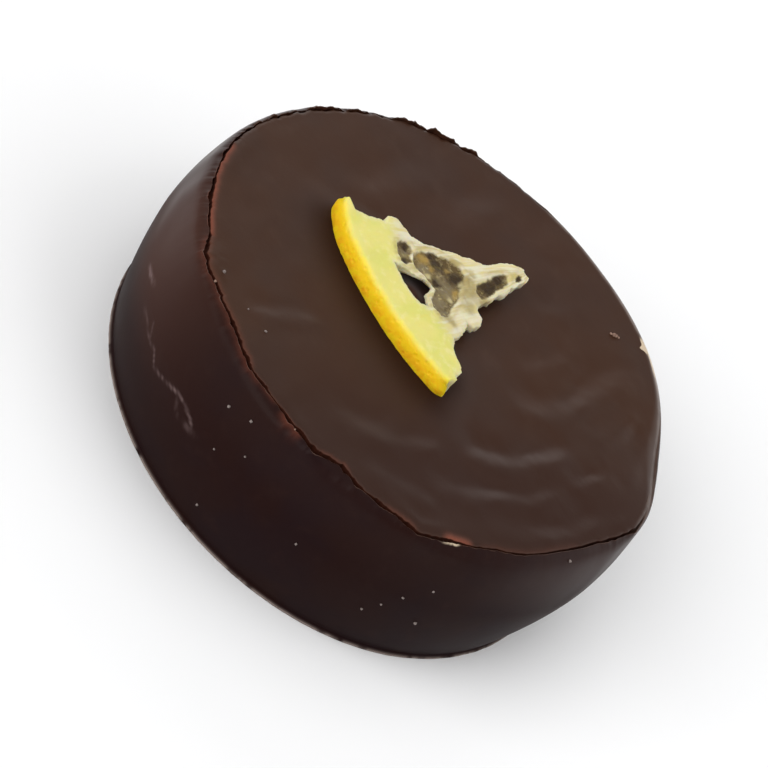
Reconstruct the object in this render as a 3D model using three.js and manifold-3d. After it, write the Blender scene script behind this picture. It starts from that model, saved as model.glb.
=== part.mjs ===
// A thick round butter cookie coated all over in dark chocolate, with a torn piece
// of dried lemon slice lying on top.
// Millimetres, +Z up, origin in the middle of the flat base. The widest view of the
// lemon piece is had from the -Y side, and its rind faces that way.

import * as THREE from 'three';
import { mergeVertices } from 'three/addons/utils/BufferGeometryUtils.js';
import Module from 'manifold-3d';

// ---------------------------------------------------------------- driving dimensions

// the coated cookie: a drum with a round belly, a sharp rim and a narrower foot
const COOKIE_HEIGHT = 20;
const RIM_RADIUS = 28.7;
const BELLY_RADIUS = 30.5;
const BELLY_HEIGHT = 11.8;
const FOOT_RADIUS = 28.1;
const SHOULDER_ROUNDNESS = 2.4;
const FLANK_ROUNDNESS = 1.7;
const BROAD_LUMPS = 0.12;
const NARROW_LUMPS = 0.08;

// the crack between the coat's top sheet and its wall
const CRACK_WIDTH = 0.4;
const CRACK_DEPTH = 0.8;
const CREST_WIDTH = 0.3;
const CREST_DROP = 0.08;
const RIM_FADE = 4;
const CHIP_HEIGHT = 0.4;
const CHIP_HALF_ANGLE = 3.2;
const SOFT_RIM_DROP = 0.9;
const SOFT_RIM_FROM = 2;
const SOFT_RIM_TO = 92;
const SOFT_RIM_BLEND = 6;

// the thin foot that the coat left on the surface it set on
const FOOT_LIP = 0.35;
const FOOT_LIP_HEIGHT = 0.5;
const FOOT_LIP_EDGE = 0.15;
const FOOT_UNDERCUT = 0.5;

// soft waves in the top sheet, in rings about one point
const WAVE_CENTRE = [5, 5];
const WAVE_LENGTH = 6.6;
const WAVE_HEIGHT = 0.1;
const WAVE_AZIMUTH = -30;
const WAVE_HALF_ANGLE = 70;
const WAVE_FROM = [6, 12];
const WAVE_REACH = 26;

// the lemon piece: one sixth of a slice, its point near the far side
const SLICE_RADIUS = 23;
const SLICE_CENTRE = [2.7, 14.3];
const SLICE_FLATTENING = 0.03;
const SLICE_HALF_ANGLE = 30;
const SLICE_MIDDLE_AZIMUTH = -113.8;
const SLICE_THICKNESS = 2.8;
const SLICE_GAP = 0.3;
const POINT_RADIUS = 0.6;
const RIND_ROUNDING = 0.8;
const RIND_BULGE = 0.2;
const PITH_FROM = 16;
const PITH_FULL = 21;
const INNER_THINNING = 0.8;
const EDGE_WEAR = 0.5;
const EDGE_WEAR_SHARE = 0.12;
const PULP_THICKNESS = 1.3;
const MEMBRANE_WIDTH = 1.1;

// how finely the bodies are faceted
const COOKIE_SIDES = 120;
const SHEET_RINGS = [0.14, 0.28, 0.42, 0.55, 0.67, 0.77, 0.86, 0.93, 0.97];
const WALL_HEIGHTS = [18.6, 17, 15, 13, 11, 8.8, 6.4, 4, 2, 1];
const SLICE_STEPS = 30;
const SLICE_COLUMNS = 22;
const RIND_TURNS = [30, 60, 90];

// ---------------------------------------------------------------- small helpers

const wasm = await Module();
wasm.setup();

const radians = THREE.MathUtils.degToRad;
const lerp = THREE.MathUtils.lerp;
const clamp01 = (value) => THREE.MathUtils.clamp(value, 0, 1);
const smooth = (value, low, high) => THREE.MathUtils.smoothstep(value, low, high);

// shortest way round from one azimuth to another, in degrees
function turn(from, to) {
  return THREE.MathUtils.euclideanModulo(to - from + 180, 360) - 180;
}

// a soft bump, 1 in its middle, over an azimuth
function bump(azimuth, middle, width) {
  const away = turn(middle, azimuth) / width;
  return Math.exp(-away * away);
}

// a closed body as an indexed geometry
function body(points, triangles) {
  const geometry = new THREE.BufferGeometry();
  geometry.setAttribute('position', new THREE.Float32BufferAttribute(points.flat(), 3));
  geometry.setIndex(triangles.flat());
  return geometry;
}

// a closed geometry as a solid that can be cut, and back
function toSolid(geometry) {
  const bare = geometry.clone();
  bare.deleteAttribute('normal');
  bare.deleteAttribute('uv');
  const merged = mergeVertices(bare, 1e-4);
  return new wasm.Manifold(new wasm.Mesh({
    numProp: 3,
    vertProperties: new Float32Array(merged.attributes.position.array),
    triVerts: new Uint32Array(merged.index.array),
  }));
}

function toGeometry(solid) {
  const mesh = solid.getMesh();
  const geometry = new THREE.BufferGeometry();
  geometry.setAttribute('position', new THREE.BufferAttribute(new Float32Array(mesh.vertProperties), 3));
  geometry.setIndex(new THREE.BufferAttribute(new Uint32Array(mesh.triVerts), 1));
  geometry.computeVertexNormals();
  return geometry;
}

// ---------------------------------------------------------------- the coated cookie

// where the rim stands out or in from a true circle: azimuth, amount, half width
const RIM_UNEVENNESS = [
  { at: -172, out: 0.4, width: 9 },
  { at: -139, out: 0.7, width: 8 },
  { at: -125, out: -0.5, width: 11 },
  { at: -97, out: 0.8, width: 6 },
  { at: -82, out: -0.5, width: 8 },
  { at: -64, out: 1.0, width: 7 },
  { at: -38, out: -0.5, width: 16 },
  { at: -1, out: 1.0, width: 12 },
  { at: 52, out: 0.6, width: 16 },
  { at: 145, out: -0.2, width: 34 },
];

// where the wall's top edge stands up in broken chips above the sheet
const CREST_CHIPS = [172, 153, 142, 130, 119, 112];

function rimUnevenness(azimuth) {
  return RIM_UNEVENNESS.reduce((sum, { at, out, width }) => sum + out * bump(azimuth, at, width), 0);
}

// 1 where the coat is cracked along the rim, 0 where the rim is one soft roll
function cracked(azimuth) {
  const middle = (SOFT_RIM_FROM + SOFT_RIM_TO) / 2;
  const half = (SOFT_RIM_TO - SOFT_RIM_FROM) / 2;
  return smooth(Math.abs(turn(middle, azimuth)), half - SOFT_RIM_BLEND, half + SOFT_RIM_BLEND);
}

function crestLift(azimuth) {
  return CHIP_HEIGHT * CREST_CHIPS.reduce((sum, at) => sum + bump(azimuth, at, CHIP_HALF_ANGLE), 0);
}

// low unevenness all over the wall
function wallLumps(azimuth, z) {
  const broad = BROAD_LUMPS * Math.sin(radians(3 * azimuth) + z / 6);
  return broad + NARROW_LUMPS * Math.sin(radians(7 * azimuth + 40) - z / 4);
}

// the wall's radius at a height: round above the belly, straighter below it, with the
// rim's unevenness fading out below the rim
function wallRadius(azimuth, z) {
  const lumps = wallLumps(azimuth, z);
  if (z >= BELLY_HEIGHT) {
    const up = (z - BELLY_HEIGHT) / (COOKIE_HEIGHT - BELLY_HEIGHT);
    const rim = RIM_RADIUS + CRACK_WIDTH / 2 + CREST_WIDTH;
    const uneven = rimUnevenness(azimuth) * Math.exp((z - COOKIE_HEIGHT) / RIM_FADE);
    return lerp(BELLY_RADIUS + lumps, rim, up ** SHOULDER_ROUNDNESS) + uneven * up;
  }
  const down = 1 - z / BELLY_HEIGHT;
  return lerp(BELLY_RADIUS, FOOT_RADIUS, down ** FLANK_ROUNDNESS) + lumps * (1 - down);
}

// the top sheet is level, with soft waves in its front right part
function sheetHeight(x, y) {
  const dx = x - WAVE_CENTRE[0];
  const dy = y - WAVE_CENTRE[1];
  const away = Math.hypot(dx, dy);
  const azimuth = THREE.MathUtils.radToDeg(Math.atan2(dy, dx));
  const side = bump(azimuth, WAVE_AZIMUTH, WAVE_HALF_ANGLE) * smooth(away, ...WAVE_FROM);
  const inside = 1 - smooth(Math.hypot(x, y), WAVE_REACH, RIM_RADIUS);
  return COOKIE_HEIGHT + WAVE_HEIGHT * side * inside * Math.cos((2 * Math.PI * away) / WAVE_LENGTH);
}

// the section of the coat at one azimuth, from the top's middle to the base's edge
function coatSection(azimuth) {
  const crack = RIM_RADIUS + rimUnevenness(azimuth);
  const split = cracked(azimuth);
  const angle = radians(azimuth);
  const section = [];
  const sheetEdge = crack - CRACK_WIDTH / 2;
  const crest = crack + CRACK_WIDTH / 2;
  for (const share of SHEET_RINGS) {
    const r = share * sheetEdge;
    section.push([r, sheetHeight(r * Math.cos(angle), r * Math.sin(angle))]);
  }
  // the sheet's edge, the crack's floor and the wall's crest
  const roll = (1 - split) * SOFT_RIM_DROP;
  const chips = split * crestLift(azimuth);
  section.push([sheetEdge, COOKIE_HEIGHT - 0.1 * roll]);
  section.push([crack, COOKIE_HEIGHT - 0.15 * roll - split * CRACK_DEPTH]);
  section.push([crest, COOKIE_HEIGHT - 0.25 * roll - split * CREST_DROP + chips]);
  section.push([crest + CREST_WIDTH, COOKIE_HEIGHT - 0.6 * roll - split * CREST_WIDTH + 0.7 * chips]);
  // the wall
  for (const z of WALL_HEIGHTS) {
    section.push([wallRadius(azimuth, z), z]);
  }
  // the foot's lip and the small undercut beneath it
  section.push([wallRadius(azimuth, FOOT_LIP_HEIGHT) + FOOT_LIP, FOOT_LIP_HEIGHT]);
  section.push([wallRadius(azimuth, 0) + FOOT_LIP, FOOT_LIP_EDGE]);
  section.push([wallRadius(azimuth, 0) - FOOT_UNDERCUT, 0]);
  section.push([0.5 * FOOT_RADIUS, 0]);
  return section;
}

function coatedCookie() {
  const points = [[0, 0, sheetHeight(0, 0)]];
  const triangles = [];
  const step = 360 / COOKIE_SIDES;
  let rings = 0;
  for (let side = 0; side < COOKIE_SIDES; side += 1) {
    const azimuth = side * step - 180;
    const angle = radians(azimuth);
    const section = coatSection(azimuth);
    rings = section.length;
    section.forEach(([r, z]) => points.push([r * Math.cos(angle), r * Math.sin(angle), z]));
  }
  const baseMiddle = points.length;
  points.push([0, 0, 0]);
  const at = (side, ring) => 1 + (side % COOKIE_SIDES) * rings + ring;
  for (let side = 0; side < COOKIE_SIDES; side += 1) {
    triangles.push([0, at(side, 0), at(side + 1, 0)]);
    for (let ring = 0; ring < rings - 1; ring += 1) {
      const near = at(side, ring);
      const far = at(side, ring + 1);
      const nearNext = at(side + 1, ring);
      const farNext = at(side + 1, ring + 1);
      triangles.push([near, far, farNext], [near, farNext, nearNext]);
    }
    triangles.push([baseMiddle, at(side + 1, rings - 1), at(side, rings - 1)]);
  }
  return body(points, triangles);
}

// ---------------------------------------------------------------- the lemon piece

// the two torn edges: at a distance from the slice's centre, degrees from its middle
const LEFT_EDGE = [
  [0, -30], [1.4, -38], [2.4, -35.5], [3.7, -27], [5.1, -22], [6.4, -22], [7.8, -26.2], [9, -28],
  [11.9, -27.1], [13.2, -27.6], [14.3, -30.3], [15.8, -35.5], [16.6, -35.7], [17.3, -34], [17.7, -30.8],
  [20, -31.8], [22, -31], [23.3, -33.5], [24.4, -30],
];
const RIGHT_EDGE = [
  [0, 30], [1.8, 24], [4.5, 19.1], [6.2, 16.4], [9.1, 15.6], [9.7, 23.5], [10.2, 25.2], [12.1, 24.9],
  [12.3, 19.9], [14.8, 22.6], [16.2, 21.4], [17.5, 24], [18.8, 29], [21, 31], [24, 30.2],
];

// the small tear that goes right through, between the pulp and the pith
const TEAR = [
  [17.2, -12.6], [15.7, -10.7], [14.4, -8.6], [13.8, -5.6], [15, -3], [15.6, -0.9], [15.4, 4], [16.6, 6.4],
  [17.1, 4.2], [17.9, 0.2], [18.1, -1.8], [17.8, -4.9], [17.9, -9.4],
];

// places where only a thin film of pulp is left: distance, degrees, half length, half width
const PULP_WINDOWS = [
  { away: 12.4, degrees: -8, long: 2.9, wide: 2.9 },
  { away: 16, degrees: -19, long: 0.9, wide: 1.5 },
  { away: 5.1, degrees: -1, long: 2.9, wide: 0.8 },
];

function edgeAt(edge, away) {
  const next = edge.findIndex(([distance]) => distance >= away);
  if (next <= 0) return edge[next < 0 ? edge.length - 1 : 0][1];
  const [d0, a0] = edge[next - 1];
  const [d1, a1] = edge[next];
  return lerp(a0, a1, (away - d0) / (d1 - d0));
}

// the rind is a little flatter than a circle about the slice's centre
function flattened(away, degrees) {
  const towardsRind = smooth(away, 0.6 * SLICE_RADIUS, SLICE_RADIUS);
  return away * (1 + SLICE_FLATTENING * towardsRind * (degrees / SLICE_HALF_ANGLE) ** 2);
}

// from distance and degrees within the slice to the cookie's own x and y
function onSlice(away, degrees) {
  const angle = radians(SLICE_MIDDLE_AZIMUTH + degrees);
  return [SLICE_CENTRE[0] + away * Math.cos(angle), SLICE_CENTRE[1] + away * Math.sin(angle)];
}

// the slice is thick in the rind and pith, and sinks to a film where the pulp dried
function sliceThickness(away, degrees, share) {
  const along = away * Math.cos(radians(degrees));
  const across = away * Math.sin(radians(degrees));
  let film = 0;
  for (const window of PULP_WINDOWS) {
    const centreAlong = window.away * Math.cos(radians(window.degrees));
    const centreAcross = window.away * Math.sin(radians(window.degrees));
    const reach = Math.hypot((along - centreAlong) / window.long, (across - centreAcross) / window.wide);
    film = Math.max(film, 1 - smooth(reach, 0.8, 0.8 + MEMBRANE_WIDTH / window.wide));
  }
  const full = SLICE_THICKNESS * lerp(INNER_THINNING, 1, smooth(away, PITH_FROM, PITH_FULL));
  const worn = (1 - smooth(Math.min(share, 1 - share), 0, EDGE_WEAR_SHARE)) * smooth(away, 3, 8);
  return lerp(full - EDGE_WEAR * worn, PULP_THICKNESS, film);
}

function lemonPiece() {
  const base = COOKIE_HEIGHT + SLICE_GAP + WAVE_HEIGHT;
  const rows = [];
  // from the point out to the rind, then round its edge and down the zest
  const flatReach = SLICE_RADIUS - RIND_ROUNDING;
  for (let step = 0; step <= SLICE_STEPS; step += 1) {
    const away = lerp(POINT_RADIUS, flatReach, step / SLICE_STEPS);
    rows.push({ away, drop: 0, low: away });
  }
  for (const turnDown of RIND_TURNS) {
    const angle = radians(turnDown);
    const away = flatReach + (RIND_ROUNDING + RIND_BULGE) * Math.sin(angle);
    const low = lerp(flatReach, SLICE_RADIUS, turnDown / 90);
    rows.push({ away, drop: RIND_ROUNDING * (1 - Math.cos(angle)), low });
  }
  const top = [];
  const bottom = [];
  for (const { away, drop, low } of rows) {
    const edgeReach = flattened(away, SLICE_HALF_ANGLE);
    const left = edgeAt(LEFT_EDGE, edgeReach);
    const right = edgeAt(RIGHT_EDGE, edgeReach);
    for (let column = 0; column <= SLICE_COLUMNS; column += 1) {
      const share = column / SLICE_COLUMNS;
      const degrees = lerp(left, right, share);
      const thickness = sliceThickness(away, degrees, share);
      top.push([...onSlice(flattened(away, degrees), degrees), base + thickness - drop]);
      bottom.push([...onSlice(flattened(low, degrees), degrees), base]);
    }
  }
  const width = SLICE_COLUMNS + 1;
  const points = [...top, ...bottom];
  const lower = top.length;
  const triangles = [];
  for (let row = 0; row < rows.length - 1; row += 1) {
    for (let column = 0; column < SLICE_COLUMNS; column += 1) {
      const a = row * width + column;
      const b = a + 1;
      const c = a + width;
      const d = c + 1;
      triangles.push([a, c, d], [a, d, b]);
      triangles.push([lower + a, lower + d, lower + c], [lower + a, lower + b, lower + d]);
    }
  }
  // the four sides, each a strip between the upper and the lower sheet
  const strip = (path) => {
    for (let index = 0; index < path.length - 1; index += 1) {
      const p = path[index];
      const q = path[index + 1];
      triangles.push([p, lower + p, lower + q], [p, lower + q, q]);
    }
  };
  const lastRow = (rows.length - 1) * width;
  const column0 = rows.map((row, index) => index * width);
  strip(column0);
  strip(Array.from({ length: width }, (unused, column) => lastRow + column));
  strip(column0.map((index) => index + SLICE_COLUMNS).reverse());
  strip(Array.from({ length: width }, (unused, column) => SLICE_COLUMNS - column));
  const wedge = toSolid(body(points, triangles));
  return toGeometry(wedge.subtract(toSolid(tearCutter(base))));
}

// an upright block with the tear's outline
function tearCutter(base) {
  const corners = TEAR.map(([away, degrees]) => new THREE.Vector2(...onSlice(away, degrees)));
  const cutter = new THREE.ExtrudeGeometry(new THREE.Shape(corners), {
    depth: 3 * SLICE_THICKNESS,
    bevelEnabled: false,
  });
  cutter.translate(0, 0, base - SLICE_THICKNESS);
  return cutter;
}

// ---------------------------------------------------------------- materials and parts

const darkChocolate = new THREE.MeshStandardMaterial({ color: 0x4a352e, roughness: 0.42, metalness: 0 });
const driedLemon = new THREE.MeshStandardMaterial({ color: 0xe6cf62, roughness: 0.6, metalness: 0 });

const group = new THREE.Group();

function addPart(name, geometry, material) {
  const mesh = new THREE.Mesh(geometry, material);
  mesh.name = name;
  group.add(mesh);
}

addPart('coated_cookie', coatedCookie(), darkChocolate);
addPart('lemon_piece', lemonPiece(), driedLemon);

export default group;
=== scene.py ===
# %% [markdown]
# # A chocolate-coated butter cookie with a piece of dried lemon
#
# The cookie is a thick round biscuit that went through a curtain of liquid dark chocolate, so a
# coat hides all of it. When the coat cooled it shrank and cracked along the rim. A torn
# sixth of a dried lemon slice lies on top.
#
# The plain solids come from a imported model. This script keeps their places, and makes the
# fine surfaces that replace them: meshes worked out by formulas, with node materials.

# %% Open the frame
import math
from collections import namedtuple
import bmesh
import bpy
import numpy as np
from mathutils import Matrix, Vector


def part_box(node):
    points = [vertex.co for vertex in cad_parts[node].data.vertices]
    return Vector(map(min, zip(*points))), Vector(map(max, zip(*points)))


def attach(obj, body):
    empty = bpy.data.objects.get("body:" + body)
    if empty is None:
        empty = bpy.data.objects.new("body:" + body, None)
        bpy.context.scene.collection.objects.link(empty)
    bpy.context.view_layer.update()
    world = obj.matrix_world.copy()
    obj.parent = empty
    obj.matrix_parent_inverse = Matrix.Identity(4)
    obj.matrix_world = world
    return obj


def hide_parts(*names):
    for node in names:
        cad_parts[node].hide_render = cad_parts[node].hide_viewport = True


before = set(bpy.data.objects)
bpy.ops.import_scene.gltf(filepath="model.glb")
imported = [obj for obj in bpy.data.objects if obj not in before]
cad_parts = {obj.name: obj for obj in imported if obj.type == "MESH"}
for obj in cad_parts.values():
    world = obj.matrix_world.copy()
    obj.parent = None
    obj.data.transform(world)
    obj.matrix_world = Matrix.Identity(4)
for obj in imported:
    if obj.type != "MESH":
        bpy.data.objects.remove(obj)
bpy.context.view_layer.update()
MM = 0.001


def in_mm(*places):
    """Places in metres as one list of rounded millimetres, for the prints."""
    return [round(value / MM, 2) for place in places for value in place]


# %% [markdown]
# ## Tools for numbers that vary over a surface
#
# A real coat is uneven, so nearly every number here changes from place to place. Blender's
# own noise textures are fine inside a material, but a mesh needs its noise in Python. A small
# table of random numbers, read with smooth steps between its cells, does that quickly for a
# hundred thousand points at a time. The tables are seeded, so every run gives the same cookie.

# %% Smooth steps and hills
def smooth(value, low, high):
    """0 below low, 1 above high, and a soft S between them."""
    share = np.clip((value - low) / (high - low), 0, 1)
    return share * share * (3 - 2 * share)


def band(value, starts, full, fades, ends):
    """1 between full and fades, 0 before starts and after ends, soft between them."""
    return smooth(value, starts, full) * (1 - smooth(value, fades, ends))


def hill(distance, width):
    """A soft hump: 1 at no distance, about a third at one width, nearly 0 at two."""
    return np.exp(-((distance / width) ** 2))


def mix(first, second, share):
    """Part of the way from the first number to the second."""
    return first + (second - first) * share


def turn(start, end):
    """The shortest way round from one azimuth to another, in degrees."""
    return (end - start + 180) % 360 - 180


def bump(azimuth, middle, width):
    """A hill round the rim."""
    return hill(turn(middle, azimuth), width)


def read_table(azimuth, table):
    """What a table of azimuths and amounts says, in straight steps between its rows."""
    places, amounts = zip(*table)
    return np.interp(azimuth, places, amounts, period=360)


print("half way up a smooth step:", smooth(0.5, 0, 1))


# %% Seeded noise
NOISE_CELLS = 97
# noise round the rim is read on a circle about this place of the table
CIRCLE_MIDDLE = 40


def lattice(x, y, seed):
    """Soft noise from -1 to 1 over a plane, with one random value in each unit cell."""
    table = np.random.default_rng(seed).uniform(-1, 1, (NOISE_CELLS, NOISE_CELLS))
    column, row = np.floor(x).astype(int), np.floor(y).astype(int)
    right, up = smooth(x - column, 0, 1), smooth(y - row, 0, 1)

    def corner(i, j):
        return table[(row + j) % NOISE_CELLS, (column + i) % NOISE_CELLS]

    return mix(mix(corner(0, 0), corner(1, 0), right), mix(corner(0, 1), corner(1, 1), right), up)


def rough_noise(x, y, seed, octaves=3):
    """Several sizes of soft noise on top of each other, the finer ones weaker."""
    total = sum(lattice(x * 2**k, y * 2**k, seed + k) / 2**k for k in range(octaves))
    return total / sum(1 / 2**k for k in range(octaves))


def round_noise(azimuth, cells, seed, octaves=3):
    """Noise round the rim: the azimuth runs over a circle, so it closes on itself."""
    angle = np.radians(azimuth)
    reach = cells / (2 * math.pi)
    x, y = CIRCLE_MIDDLE + reach * np.cos(angle), CIRCLE_MIDDLE + reach * np.sin(angle)
    return rough_noise(x, y, seed, octaves)


print("a noise value:", round(float(rough_noise(np.array([3.3]), np.array([7.1]), 5)[0]), 4))

# %% [markdown]
# ## The cookie's sizes
#
# These are the same sizes that the plain solids have, in millimetres: a drum with a round belly,
# whose rim isn't a true circle, and the place of the lemon piece on it. They are repeated
# because the fine meshes have to lie on the solids they stand for.

# %% Sizes of the coat
COOKIE_HEIGHT = 20.0
RIM_RADIUS = 28.7
BELLY_RADIUS = 30.5
BELLY_HEIGHT = 11.8
FOOT_RADIUS = 28.1
SHOULDER_ROUNDNESS = 2.4
FLANK_ROUNDNESS = 1.7
BROAD_LUMPS = 0.12
NARROW_LUMPS = 0.08
RIM_FADE = 4.0
RIM_DETAIL_FADE = 0.9
CREST_WIDTH = 0.5
SOFT_RIM_FROM = 2
SOFT_RIM_TO = 92
SOFT_RIM_BLEND = 6
# the rim's line is averaged over about this many degrees: for its broad shape and its detail
RIM_BROAD = 9
RIM_FINE = 1.2
# where the rim stands out or in from a true circle: azimuth and amount
RIM_LINE = [
    (-180, 0.45), (-172, 0.55), (-164, 0.22), (-156, 0.10), (-147, 0.05), (-141, 0.75), (-137, 0.80),
    (-132, 0.02), (-126, -0.18), (-119, -0.15), (-112, 0.32), (-107, 0.10), (-99, 0.45), (-94, 0.15),
    (-91, 0.42), (-85, -0.62), (-80, -0.12), (-74, 0.28), (-70, 0.38), (-63, 1.22), (-57, 0.40),
    (-50, 0.08), (-44, -0.30), (-38, -0.18), (-26, -0.55), (-14, -0.30), (-2, 0.88), (6, 0.70),
    (16, 0.16), (25, 0.0), (40, 0.38), (52, 0.60), (62, 0.45), (74, 0.08), (92, -0.02),
    (120, -0.18), (150, -0.20), (168, 0.05),
]
# the lemon piece: the middle and radius of the slice it is torn from, and where its own
# middle line points to
SLICE_CENTRE = (2.7, 14.3)
SLICE_RADIUS = 22.3
SLICE_AZIMUTH = -113.8
coat_low, coat_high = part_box("coated_cookie")
print("the plain cookie is", in_mm(coat_high - coat_low)[0], "mm across")


# %% The coat's plan and section
def rim_line(azimuth, softness):
    """How far the rim stands out, averaged over some degrees to both sides."""
    offsets = np.linspace(-2, 2, 9)
    weights = hill(offsets, 1)
    total = sum(weight * read_table(azimuth + offset * softness, RIM_LINE)
                for offset, weight in zip(offsets, weights))
    return total / weights.sum()


def cracked(azimuth):
    """1 where the coat is cracked along the rim, 0 where the rim is one soft roll."""
    middle, half = (SOFT_RIM_FROM + SOFT_RIM_TO) / 2, (SOFT_RIM_TO - SOFT_RIM_FROM) / 2
    return smooth(np.abs(turn(middle, azimuth)), half - SOFT_RIM_BLEND, half + SOFT_RIM_BLEND)


def wall_radius(azimuth, z):
    """The wall's radius at a height: round above the belly, straighter below it."""
    turns = np.radians(azimuth)
    lumps = BROAD_LUMPS * np.sin(3 * turns + z / 6) + NARROW_LUMPS * np.sin(7 * turns + 0.7 - z / 4)
    up = np.clip((z - BELLY_HEIGHT) / (COOKIE_HEIGHT - BELLY_HEIGHT), 0, 1.2)
    down = np.clip(1 - z / BELLY_HEIGHT, 0, 1)
    above = mix(BELLY_RADIUS + lumps, RIM_RADIUS + CREST_WIDTH, up**SHOULDER_ROUNDNESS)
    broad, fine = rim_line(azimuth, RIM_BROAD), rim_line(azimuth, RIM_FINE)
    above = above + broad * np.exp((z - COOKIE_HEIGHT) / RIM_FADE) * up
    above = above + (fine - broad) * np.exp((z - COOKIE_HEIGHT) / RIM_DETAIL_FADE)
    below = mix(BELLY_RADIUS, FOOT_RADIUS, down**FLANK_ROUNDNESS) + lumps * (1 - down)
    return np.where(z >= BELLY_HEIGHT, above, below)


print("radius at the belly, azimuth 0:", round(float(wall_radius(0, BELLY_HEIGHT)), 2))

# %% [markdown]
# ## Ripples in the coat
#
# Liquid chocolate that is blown level by a fan sets with low ripples. On this cookie they run
# as arcs over the front right of the top, with a few short streaks. Each is only about a tenth of
# a millimetre high, yet a satin surface shows it at once. A bump map would do from
# above, but real relief also shows in a low light, so the ripples are in the mesh.
# One ripple is a list of the points it runs through, and its height falls off on both sides.

# %% Ripples of the top
# each: the points where it is steepest, its slope there and its half width in mm
RIPPLES = [
    ([(18.9, 1.8), (17.4, -2.0), (16.3, -6.2), (13.7, -9.3), (9.2, -12.4)], 0.165, 2.0),
    ([(17.8, 20.0), (16.7, 12.0), (15.4, 5.6), (13.2, 2.0), (8.8, -0.4)], 0.127, 2.2),
    ([(20.6, 15.0), (20.0, 9.0), (18.8, 4.0)], 0.083, 1.8),
    ([(20.9, -3.0), (19.8, -8.2), (17.0, -12.6), (13.2, -16.8), (9.0, -19.8)], 0.137, 1.9),
    ([(25.8, -2.0), (24.6, -8.4), (21.6, -13.6), (17.2, -18.4)], 0.117, 1.9),
    ([(23.6, 4.4), (22.6, -0.8), (20.4, -3.6)], 0.137, 1.4),
    ([(9.2, -12.2), (6.6, -16.0), (2.4, -20.0), (-3.0, -22.6)], 0.080, 2.2),
    ([(-8.8, -12.0), (-12.6, -16.4), (-16.2, -21.0)], 0.080, 1.5),
    ([(13.6, -20.2), (8.6, -23.2), (3.0, -25.0)], 0.080, 1.7),
    ([(12.2, 13.6), (10.6, 8.0), (8.4, 4.6)], 0.071, 1.9),
    ([(-5.0, 25.0), (-6.8, 20.0), (-7.6, 13.0)], 0.038, 2.4),
    ([(-13.0, 20.0), (-15.4, 12.0), (-16.6, 6.0)], 0.038, 2.7),
    ([(-24.4, 4.0), (-23.2, -4.0), (-20.0, -10.4)], 0.034, 2.6),
    ([(23.4, 13.6), (24.4, 8.0), (24.0, 3.0)], 0.084, 1.7),
    ([(4.6, 24.6), (7.2, 19.6), (7.8, 14.0)], 0.046, 2.3),
]
RIPPLE_WANDER = 0.7
RIPPLE_ENDS = 0.22
FAINT_RIPPLES = 0.060


def softened(path, rounds=2):
    """The same path with its corners cut off, again and again."""
    for _ in range(rounds):
        cut = [path[0]]
        for (ax, ay), (bx, by) in zip(path, path[1:]):
            cut += [(mix(ax, bx, share), mix(ay, by, share)) for share in (0.25, 0.75)]
        path = [*cut, path[-1]]
    return path


def along(path, x, y):
    """How far points are from a path, their place along it from 0 to 1, and their side, 1 on its left."""
    nearest = np.full(np.shape(x), 1e9)
    side = np.ones(np.shape(x))
    place = np.zeros(np.shape(x))
    lengths = [math.dist(a, b) for a, b in zip(path, path[1:])]
    walked = 0.0
    for (ax, ay), (bx, by), length in zip(path, path[1:], lengths):
        share = np.clip(((x - ax) * (bx - ax) + (y - ay) * (by - ay)) / length**2, 0, 1)
        away = np.hypot(x - ax - share * (bx - ax), y - ay - share * (by - ay))
        on_left = (bx - ax) * (y - ay) - (by - ay) * (x - ax) > 0
        place = np.where(away < nearest, (walked + share * length) / sum(lengths), place)
        side = np.where(away < nearest, np.where(on_left, 1, -1), side)
        nearest = np.minimum(nearest, away)
        walked += length
    return nearest, place, side


def ripple_height(x, y):
    """Each ripple climbs from a hollow to a crest across its path, and fades at its ends."""
    wander_x = x + RIPPLE_WANDER * rough_noise(x / 5, y / 5, 11)
    wander_y = y + RIPPLE_WANDER * rough_noise(x / 5, y / 5, 12)
    height = FAINT_RIPPLES * rough_noise(x / 4.2, y / 8.5, 13, 2)
    uneven = 0.85 + 0.7 * rough_noise(x / 4, y / 4, 14, 2)
    for path, slope, width in RIPPLES:
        away, place, side = along(softened(path), wander_x, wander_y)
        climb = side * away * hill(away, width)
        height = height + slope * uneven * climb * smooth(np.minimum(place, 1 - place), 0, RIPPLE_ENDS)
    return height


steepest = max(slope for _, slope, _ in RIPPLES)
print("steepest ripple:", round(math.degrees(math.atan(steepest)), 1), "degrees")

# %% [markdown]
# ## The crack, the chips and the rim
#
# The top sheet of the coat has come away from the wall along two thirds of the rim. The crack
# is a ragged line a few tenths of a millimetre wide, dark inside, with lighter reddish-brown
# broken edges. On the far side the wall's top edge stands up in thin broken flakes. On the
# right there is no crack: the rim is one soft roll that droops a little, chipped in one place.
#
# One way would be to cut a groove into a finished mesh, but a boolean leaves ugly
# faces under a glossy finish. It is cleaner to let the section of the coat go down into
# the crack and up again: every azimuth has the same rings, only their places differ.

# %% How the crack and the rim vary
# the flakes that stand up on the far side: from, to, height
FLAKES = [
    (161, 174, 0.34), (147, 156, 0.42), (139.5, 145.5, 0.36), (124.5, 133, 0.50),
    (116.9, 123.6, 0.66), (111, 114.6, 0.42),
]
# where the crack is wider or narrower: azimuth, half width of that place, mm
CRACK_CHANGES = [
    (-35, 22, -0.06), (-125, 30, 0.10), (-172, 12, -0.08), (-82, 24, 0.18), (-161, 5, 0.14), (-140, 2, 0.12),
    (-122, 3, 0.14), (-95.5, 1.6, 0.26), (-86, 3, 0.12), (-66, 2.2, 0.14), (-55, 3.4, 0.26),
]
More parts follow.
